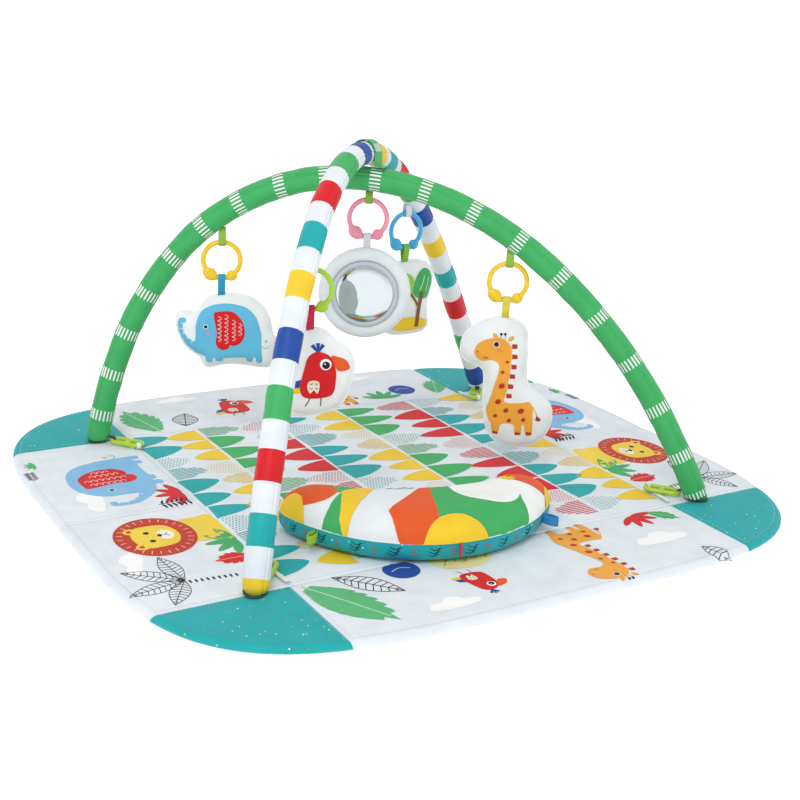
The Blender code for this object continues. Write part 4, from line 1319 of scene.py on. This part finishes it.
def build_mirror(toy):
    """A round padded frame with a cover on its back, an acrylic mirror sheet and the binding that holds it."""

    def spun(profile, sides, pucker=0.0):
        """A profile of (radius, depth) pairs turned about the mirror's axis."""
        rings = []
        for a in turns(sides):
            ring = []
            for radius, depth in profile:
                out = pucker * noise.noise(Vector((math.cos(a) * 5, math.sin(a) * 5, radius * 90)))
                r = radius + out
                ring.append(toy.world(math.cos(a) * r, -MIRROR_CENTRE_DROP + math.sin(a) * r, depth + out))
            rings.append(ring)
        return rings

    bends = [math.radians(-150 + 300 * k / 16) for k in range(17)]
    profile = [(0.0455, -0.0060)] + [(0.0585 + 0.0115 * math.cos(a), 0.0112 * math.sin(a)) for a in bends]
    profile += [(0.0470, 0.0066), (0.0455, 0.0066)]
    white = fabric("mirror_cloth", "E4EAEE", roughness=0.5, sheen=0.3, wrinkle=0.6)
    ring = surface("mirror_pad", spun(profile, 96, 0.0005), white, looped=True)
    settle(ring, "mirror_body", "mirror_frame_fabric", "mirror_frame", padding=0.85)
    dish = [(r, -0.0062 - 0.0016 * math.cos(r * 30)) for r in (0.0005, 0.012, 0.024, 0.036, 0.0475)]
    surface("mirror_back_cover", spun(dish, 48), white, looped=True).parent = ring

    rings = []
    for radius, depth in ((0.0453, 0.0064), (0.0455, 0.0086), (0.0448, 0.0089), (0.030, 0.0091),
                          (0.015, 0.0090), (0.0008, 0.0090)):
        rings.append([toy.world(math.cos(a) * radius, -MIRROR_CENTRE_DROP + math.sin(a) * radius,
                                depth + 0.00012 * math.sin(a * 3 + radius * 40) * radius / 0.045)
                      for a in turns(64)])
    disc = surface("mirror_sheet", rings, metal("mirror_acrylic", "C9D0D3", 0.035))
    settle(disc, "mirror_body", "mirror_sheet", "mirror_disc")

    profile = [(0.0468 + 0.0034 * math.cos(a), 0.0105 + 0.0017 * math.sin(a)) for a in turns(12)]
    grey = fabric("binding_grey", "C2CCD6", roughness=0.45, sheen=0.4, weave=0.0006)
    binding = surface("mirror_edging", spun(profile, 120, 0.0002), grey, looped=True)
    settle(binding, "mirror_body", "mirror_frame_fabric", "mirror_binding")


# ------------------------------------------------------------------ links and webbing


def build_link(name, foot):
    """The oblong link beside a foot, its latch tab, the webbing hook that holds its inner end and the
    short loop from the foot's cap to its near end."""
    side_x, side_y = math.copysign(1, -foot.x), math.copysign(1, -foot.y)
    inward = Vector((0.652 * side_x, 0.758 * side_y, 0)).normalized()
    across = UP.cross(inward)
    radius, straight, height, bar = 0.0088, 0.034, 0.0047, 0.0032
    pivot = Vector((foot.x, foot.y, 0.012)) + inward * (0.024 + 0.012 + straight)
    level = pivot + UP * height
    near = level - inward * straight
    path = arc(level, radius, -90, 90, 16, inward, across)
    path += [level + across * radius - inward * (straight * k / 8) for k in range(1, 8)]
    path += arc(near, radius, 90, 270, 16, inward, across)
    path += [near - across * radius + inward * (straight * k / 8) for k in range(1, 8)]
    rings = []
    for i, point in enumerate(path):
        out = ahead_at(path, i, looped=True).cross(UP)
        along = (point - level).dot(inward)
        thick = bar * (1.10 if -0.026 < along < -0.008 and i % 2 else 1.0)
        rings.append(oval_ring(point, out, UP, thick, thick, 14))
    lime = plastic("link_lime", "B7D62C", roughness=0.3)
    link = surface("clip_" + name, rings, lime, looped=True)
    settle(link, f"link_{name}_body", "link_lime", "link_" + name)
    middle = level - inward * (straight * 0.5)
    tab = []
    for t in range(9):
        v = (t / 8 - 0.5) * 2 * (radius - 0.001)
        thick = 0.0014 + 0.0006 * math.cos(v / radius * 2.4)
        tab.append(oval_ring(middle + across * v + UP * 0.0004, inward, UP, 0.0042, thick, 12))
    surface(f"clip_{name}_latch", tab, lime).parent = link

    sewn = Vector((math.copysign(SEAM_X, foot.x), math.copysign(SEAM_Y, foot.y), 0.012))
    along = (pivot - sewn).normalized()
    low = 0.0006
    loop = height - low
    back = along * 0.0009
    bar_centre = pivot + along * radius + UP * height
    path = [pivot - along * (0.045 - 0.0056 * k) + UP * low for k in range(8)]
    path += arc(bar_centre, loop, -90, 90, 12, along, UP)
    path += arc(bar_centre - back, loop, 90, 180, 6, along, UP)
    path += [bar_centre - back - along * loop - UP * (loop - 0.0013)]
    white = fabric("webbing", "EDEFEC", roughness=0.6, weave=0.0011)
    web = strip("web_" + name, path, 0.007, 0.0008, UP.cross(along), white)
    settle(web, "mat", "webbing_white", "anchor_web_" + name)

    near_bar = near - inward * radius
    start = Vector((foot.x, foot.y, FLOOR + 0.004)) + inward * 0.0135
    path = open_curve([start, start.lerp(near_bar, 0.5) + UP * 0.0042, near_bar + UP * 0.0044,
                       near_bar + inward * 0.0046 + UP * 0.001], 6)
    dark = fabric("webbing_dark", "2A2F2E", weave=0.0011)
    hold = strip("foot_loop_" + name, path, 0.008, 0.0009, across, dark)
    settle(hold, "green_arch" if name in ("left", "right") else "striped_arch", "webbing_white")


# ------------------------------------------------------------------ pillow

PILLOW = Vector((-0.073, -0.194, FLOOR))
PILLOW_TURN = math.radians(-16)
BEND = 0.205
HALF = math.radians(48)
TIP = 0.046
MIDDLE = 0.071
GUSSET_TOP = 0.030
PILLOW_WRAP = 0.024


def pillow_point(x, y, z):
    """A point in the pillow's own place and turn."""
    c, s = math.cos(PILLOW_TURN), math.sin(PILLOW_TURN)
    return PILLOW + Vector((x * c - y * s, x * s + y * c, z))


def pillow_rim(cut_in):
    """The pillow's outline on the mat plane."""
    return [pillow_point(p.x, p.y, 0).xy for p in pillow_outline(cut_in)]


def pillow_reach(angle):
    """Half the pillow's width at an angle along its bend, less that of its tips."""
    return (MIDDLE - TIP) * math.cos(angle / HALF * math.pi / 2)


def pillow_outline(cut_in, steps=14):
    """The bent capsule of the pillow in its own place, moved inwards."""
    sink = Vector((0, BEND * math.cos(HALF)))
    tip = TIP - cut_in

    def edge(angle, side):
        return sink - Vector((-math.sin(angle), math.cos(angle))) * (BEND + side * (tip + pillow_reach(angle)))

    def round_tip(centre, start):
        spread = [start + math.pi * k / steps for k in range(1, steps)]
        return [centre + Vector((math.cos(a), math.sin(a))) * tip for a in spread]

    angles = [HALF * (2 * k / (2 * steps) - 1) for k in range(2 * steps + 1)]
    right = sink - Vector((-math.sin(HALF), math.cos(HALF))) * BEND
    left = Vector((-right.x, right.y))
    return ([edge(a, 1) for a in angles] + round_tip(right, HALF - math.pi / 2)
            + [edge(a, -1) for a in reversed(angles)] + round_tip(left, math.pi / 2 - HALF))


def pillow_art():
    """The printed patches of the pillow's top, in metres on the mat plane."""
    shapes = [
        blob(ORANGE, 1, [(-0.254, -0.150), (-0.240, -0.112), (-0.205, -0.104), (-0.172, -0.116), (-0.170, -0.142),
                         (-0.197, -0.184), (-0.222, -0.192), (-0.246, -0.172)], 3),
        blob(YELLOW, 2, [(-0.290, -0.178), (-0.270, -0.142), (-0.246, -0.140), (-0.239, -0.160), (-0.250, -0.190),
                         (-0.282, -0.206)], 3),
        cut(GREEN, 1, [(-0.253, -0.230), (-0.191, -0.186), (-0.212, -0.228), (-0.233, -0.294), (-0.262, -0.280)]),
        cut(GREEN, 1, [(-0.176, -0.120), (-0.120, -0.150), (-0.131, -0.182), (-0.197, -0.186), (-0.190, -0.150)]),
        cut(YELLOW, 2, [(-0.132, -0.182), (-0.225, -0.258), (-0.240, -0.319), (-0.258, -0.300), (-0.238, -0.290),
                        (-0.218, -0.232), (-0.190, -0.184)]),
        cut(ORANGE, 2, [(-0.067, -0.204), (-0.140, -0.374), (-0.176, -0.364), (-0.163, -0.262)]),
        cut(GREEN, 1, [(-0.067, -0.204), (0.010, -0.180), (0.060, -0.200), (0.052, -0.250), (0.052, -0.334),
                       (0.000, -0.372), (-0.080, -0.385), (-0.153, -0.372)]),
        oval("F4F6F4", 2, 0.000, -0.245, 0.050, 0.052, 0, 32),
        oval(YELLOW, 4, -0.098, -0.345, 0.052, 0.044, -0.3, 32),
        cut(YELLOW, 3, [(0.015, -0.176), (0.073, -0.176), (0.058, -0.240), (0.046, -0.244), (0.022, -0.206)]),
        cut(ORANGE, 3, [(0.066, -0.168), (0.135, -0.170), (0.128, -0.215), (0.086, -0.271), (0.048, -0.238)]),
        cut("F4F6F4", 2, [(0.048, -0.240), (0.086, -0.271), (0.056, -0.330), (0.024, -0.352), (0.034, -0.290)]),
        cut(YELLOW, 3, [(0.128, -0.214), (0.136, -0.250), (0.096, -0.320), (0.066, -0.334), (0.086, -0.271)]),
    ]
    for k in range(6):
        start = Vector((-0.284 + k * 0.006, -0.212 - k * 0.008))
        shapes.append(stroke("D5DDE2", 1, [start, start + Vector((0.028, -0.006))], 0.0011, 1))
    return shapes


def stuffed_pillow():
    """The teal body of the pillow. Returns its surface."""
    layers = [(0.0004, 0.014), (0.004, 0.005), (0.013, 0.0015), (0.026, 0.0015), (0.038, 0.005), (0.048, 0.014),
              (0.0545, 0.028)]
    rings = [[pillow_point(p.x, p.y, z) for p in pillow_outline(c)] for z, c in layers]
    pillow = surface("tummy_pillow", rings, speckled("gusset_teal", "1AA6AE"))
    swell(pillow, 0.006, 0.008, UP, 0.001)
    for vert in pillow.data.vertices:
        co = vert.co
        fade = math.exp(-abs(co.z - FLOOR - GUSSET_TOP) / 0.012)
        pucker = noise.noise(Vector((co.x * 45, co.y * 45, co.z * 20))) * fade
        drift = noise.noise(Vector((co.x * 14, co.y * 14, 3.3)))
        centre = Vector((PILLOW.x, PILLOW.y, co.z))
        vert.co += (co - centre).normalized() * 0.0010 * pucker
        if co.z > FLOOR + GUSSET_TOP:
            vert.co.z += 0.0014 * drift
        vert.co.z = max(vert.co.z, FLOOR + 0.0002)
    round_off(pillow)
    settle(pillow, "pillow_body", "pillow_fabric", "pillow", padding=0.7)
    return surface_tree(pillow)


def cover_placer(tree):
    """A function that gives the points of the printed cover, laid over the body down to the gusset."""
    rim, centre_line = pillow_rim(0.001), pillow_rim(0.030)

    def on_pillow(x, y, height):
        """Straight below over the middle, wrapped round the side near the rim."""
        flat = Vector((x, y))
        edge = nearest_on(rim, flat)
        away = (flat - edge).length
        if away >= PILLOW_WRAP:
            hit, normal, _, _ = tree.ray_cast(Vector((x, y, 0.2)), -UP)
            if hit is not None:
                return hit + normal * height
        inward = (nearest_on(centre_line, edge) - edge).normalized()
        turn = away / PILLOW_WRAP * math.pi / 2
        guide = edge + inward * (PILLOW_WRAP * (1 - math.cos(turn)) - 0.003)
        level = FLOOR + GUSSET_TOP + 0.030 * math.sin(turn)
        hit, normal, _, _ = tree.find_nearest(Vector((guide.x, guide.y, level)))
        return hit + normal * height

    return on_pillow


def gusset_marks(tree):
    """Black leaf marks and red chevrons printed on the gusset."""
    verts, faces, slots = [], [], []
    wall = pillow_outline(0.0)

    def on_wall(u, z):
        """A point on the gusset, u along its length as a share, z above the mat."""
        place = (u % 1.0) * len(wall)
        k = int(place)
        flat = wall[k % len(wall)].lerp(wall[(k + 1) % len(wall)], place - k)
        hit, normal, _, _ = tree.find_nearest(pillow_point(flat.x, flat.y, z))
        return hit + normal * 0.0004

    def add_line(points, width, slot):
        base = len(verts)
        for i, (u, z) in enumerate(points):
            after, before = points[min(i + 1, len(points) - 1)], points[max(i - 1, 0)]
            du, dz = after[0] - before[0], after[1] - before[1]
            size = max(1e-6, math.hypot(du, dz))
            verts.append(on_wall(u - dz / size * width / 2, z + du / size * width / 2))
            verts.append(on_wall(u + dz / size * width / 2, z - du / size * width / 2))
        for i in range(base, base + 2 * len(points) - 2, 2):
            faces.append((i, i + 1, i + 3, i + 2))
            slots.append(slot)

    for k in range(26):
        u = k / 26
        add_line([(u, 0.008), (u + 0.004, 0.016), (u + 0.006, 0.024)], 0.0009, 0)
        for j in range(3):
            foot, z = u + 0.001 * j, 0.010 + j * 0.005
            for reach in (0.006, -0.005):
                add_line([(foot, z), (foot + reach, z + 0.004)], 0.0009, 0)
        add_line([(u + 0.018, 0.012), (u + 0.022, 0.018), (u + 0.018, 0.023)], 0.0013, 1)
    marks = make_piece("pillow_gusset_print", verts, faces, [cloth(BLACK), cloth(RED)], slots)
    settle(marks, "pillow_body", "pillow_fabric")


def build_tag(name, angle, colour, length):
    """A folded tag at an angle along the pillow's front: a loop, or a flat band where it is short."""
    bent = math.radians(angle)
    out = Vector((math.sin(bent), -math.cos(bent)))
    side = Vector((-out.y, out.x))
    root = Vector((0, BEND * math.cos(HALF))) + out * (BEND + TIP + pillow_reach(bent))
    band = length < 0.01
    if band:
        half, tip = [(-0.004, 0.0006), (length * 0.7, 0.0008)], length + 0.0012
    else:
        half, tip = [(-0.004, 0.0017), (length * 0.4, 0.00476), (length * 0.86, 0.0034)], length + 0.001
    loop = [root + out * reach - side * wide for reach, wide in half] + [root + out * tip]
    loop += [root + out * reach + side * wide for reach, wide in reversed(half)]
    path = open_curve([pillow_point(p.x, p.y, 0.021) for p in loop], 6)
    material = fabric("tag_cloth_" + colour, colour, roughness=0.5, sheen=0.4, weave=0.0006)
    tag = strip("tag_" + name, path, 0.018 if band else 0.013, 0.0009, UP, material)
    settle(tag, "pillow_body", "pillow_fabric", "pillow_tag_" + name)


def build_pillow():
    """The stuffed tummy pillow: printed top, teal gusset, piping and three tags."""
    tree = stuffed_pillow()
    on_pillow = cover_placer(tree)
    rim = pillow_rim(0.001)
    shapes = [("E9EEF1", 0, rim)]
    for colour, layer, points in pillow_art():
        clipped = clip_to(points, rim)
        if len(clipped) > 2:
            shapes.append((colour, layer, clipped))
    cover = apply_artwork("pillow_cover", shapes, on_pillow, 0.0035, 0.00035, 0.0005)
    settle(cover, "pillow_body", "pillow_fabric")
    gusset_marks(tree)

    piping = []
    for spot in pillow_rim(0.0012):
        place = on_pillow(spot.x, spot.y, 0.0)
        away = (place - Vector((PILLOW.x, PILLOW.y, place.z))).normalized()
        piping.append(oval_ring(place, away, UP, 0.0011, 0.0011, 8))
    white = fabric("piping_white", "F1F4F5", weave=0.0005)
    edging = surface("pillow_edge_seam", piping, white, looped=True)
    settle(edging, "pillow_body", "pillow_fabric")
    for tag in (("lime", -38, "A2CF3A", 0.020), ("red", 4, "D8315B", 0.003), ("blue", 41, "2F86C9", 0.020)):
        build_tag(*tag)


def is_inside(rim, point):
    crossings = 0
    for a, b in zip(rim, rim[1:] + rim[:1]):
        if (a.y > point.y) != (b.y > point.y):
            crossings += point.x < (b.x - a.x) * (point.y - a.y) / (b.y - a.y) + a.x
    return crossings % 2 == 1


def clip_to(points, rim):
    """A shape with the points that lie outside a rim pulled onto it."""
    dense = []
    for a, b in zip(points, points[1:] + points[:1]):
        pieces = max(1, int((b - a).length / 0.006))
        dense += [a.lerp(b, k / pieces) for k in range(pieces)]
    result = []
    for point in dense:
        kept = point if is_inside(rim, point) else nearest_on(rim, point)
        if not result or (kept - result[-1]).length > 1e-5:
            result.append(kept)
    if len(result) > 2 and (result[0] - result[-1]).length < 1e-5:
        result.pop()
    return result


# ------------------------------------------------------------------ studio


def build_studio():
    """A pale floor, soft lights and the camera."""
    scene = bpy.context.scene
    reach = 900
    verts = [(-reach, -reach, 0), (reach, -reach, 0), (reach, reach, 0), (-reach, reach, 0)]
    material, tree, shader = new_material("studio_floor")
    mottled(tree, shader, "FFFFFF", 3, 0.01)
    set_values(shader, Roughness=0.9, Emission_Color=(1, 1, 1, 1), Emission_Strength=0.36)
    floor = make_piece("floor", verts, [(0, 1, 2, 3)], [material], smooth=False)
    scene.world = bpy.data.worlds.new("studio")
    scene.world.use_nodes = True
    sky = scene.world.node_tree.nodes["Background"]
    sky.inputs["Color"].default_value = (1, 1, 1, 1)
    sky.inputs["Strength"].default_value = 0.72
    for name, place, size, power in (("key", (-1.6, -1.4, 2.6), 1.4, 31), ("fill", (1.9, -1.6, 1.8), 2.0, 7),
                                     ("back", (0.5, 2.2, 2.2), 2.0, 6)):
        light = bpy.data.lights.new(name, "AREA")
        light.size, light.energy = size, power
        lamp = add_object(name, light)
        lamp.location = place
        lamp.rotation_euler = (Vector((0, 0, 0.15)) - Vector(place)).to_track_quat("-Z", "Y").to_euler()
    yaw, pitch, roll = (math.radians(a) for a in (YAW, PITCH, ROLL))
    ahead = Vector((math.sin(yaw) * math.cos(pitch), math.cos(yaw) * math.cos(pitch), -math.sin(pitch)))
    right = Vector((math.cos(yaw), -math.sin(yaw), 0))
    up = right.cross(ahead)
    across = right * math.cos(roll) + up * math.sin(roll)
    upward = up * math.cos(roll) - right * math.sin(roll)
    data = bpy.data.cameras.new("camera")
    data.sensor_width, data.lens, data.clip_start = SENSOR, LENS, 0.05
    camera = add_object("camera", data)
    rotation = Matrix((across, upward, -ahead)).transposed().to_4x4()
    camera.matrix_world = Matrix.Translation(AIM - ahead * AWAY) @ rotation
    scene.camera = camera
    scene.view_settings.view_transform = "Standard"


def main():
    feet = {name: Vector((x, y, FLOOR)) for name, x, y in (
        ("left", -FOOT_X, FOOT_Y), ("right", FOOT_X, -FOOT_Y), ("front", -FOOT_X, -FOOT_Y), ("back", FOOT_X, FOOT_Y))}
    green = Arch(feet["left"], feet["right"], (0.083, 0.281), (GREEN_CROWN - FLOOR) / 0.75, 0.047, 0.018)
    striped = Arch(feet["front"], feet["back"], (0.338, 0.338), (STRIPED_CROWN - FLOOR) / 0.75, 0.096, 0.0175)
    arches = {"green": green, "striped": striped}
    build_mat()
    build_mat_details()
    build_sleeves(green, striped)
    build_dashes(green)
    build_keeper_strap(green, striped)
    carry_over_hardware()
    art = {"elephant": moved(elephant_art(), 1.5, 0, 0, 0.95), "giraffe": giraffe_art(),
           "parrot": parrot_art(), "tree": tree_art()}
    for name in TOYS:
        toy = Toy(name, arches)
        build_ring(toy)
        if name == "mirror":
            build_mirror(toy)
            build_ribbons(toy, MIRROR_TOP)
        else:
            build_ribbons(toy, build_pad(toy, art[name]))
    for name, foot in feet.items():
        build_link(name, foot)
    build_pillow()
    build_studio()


main()
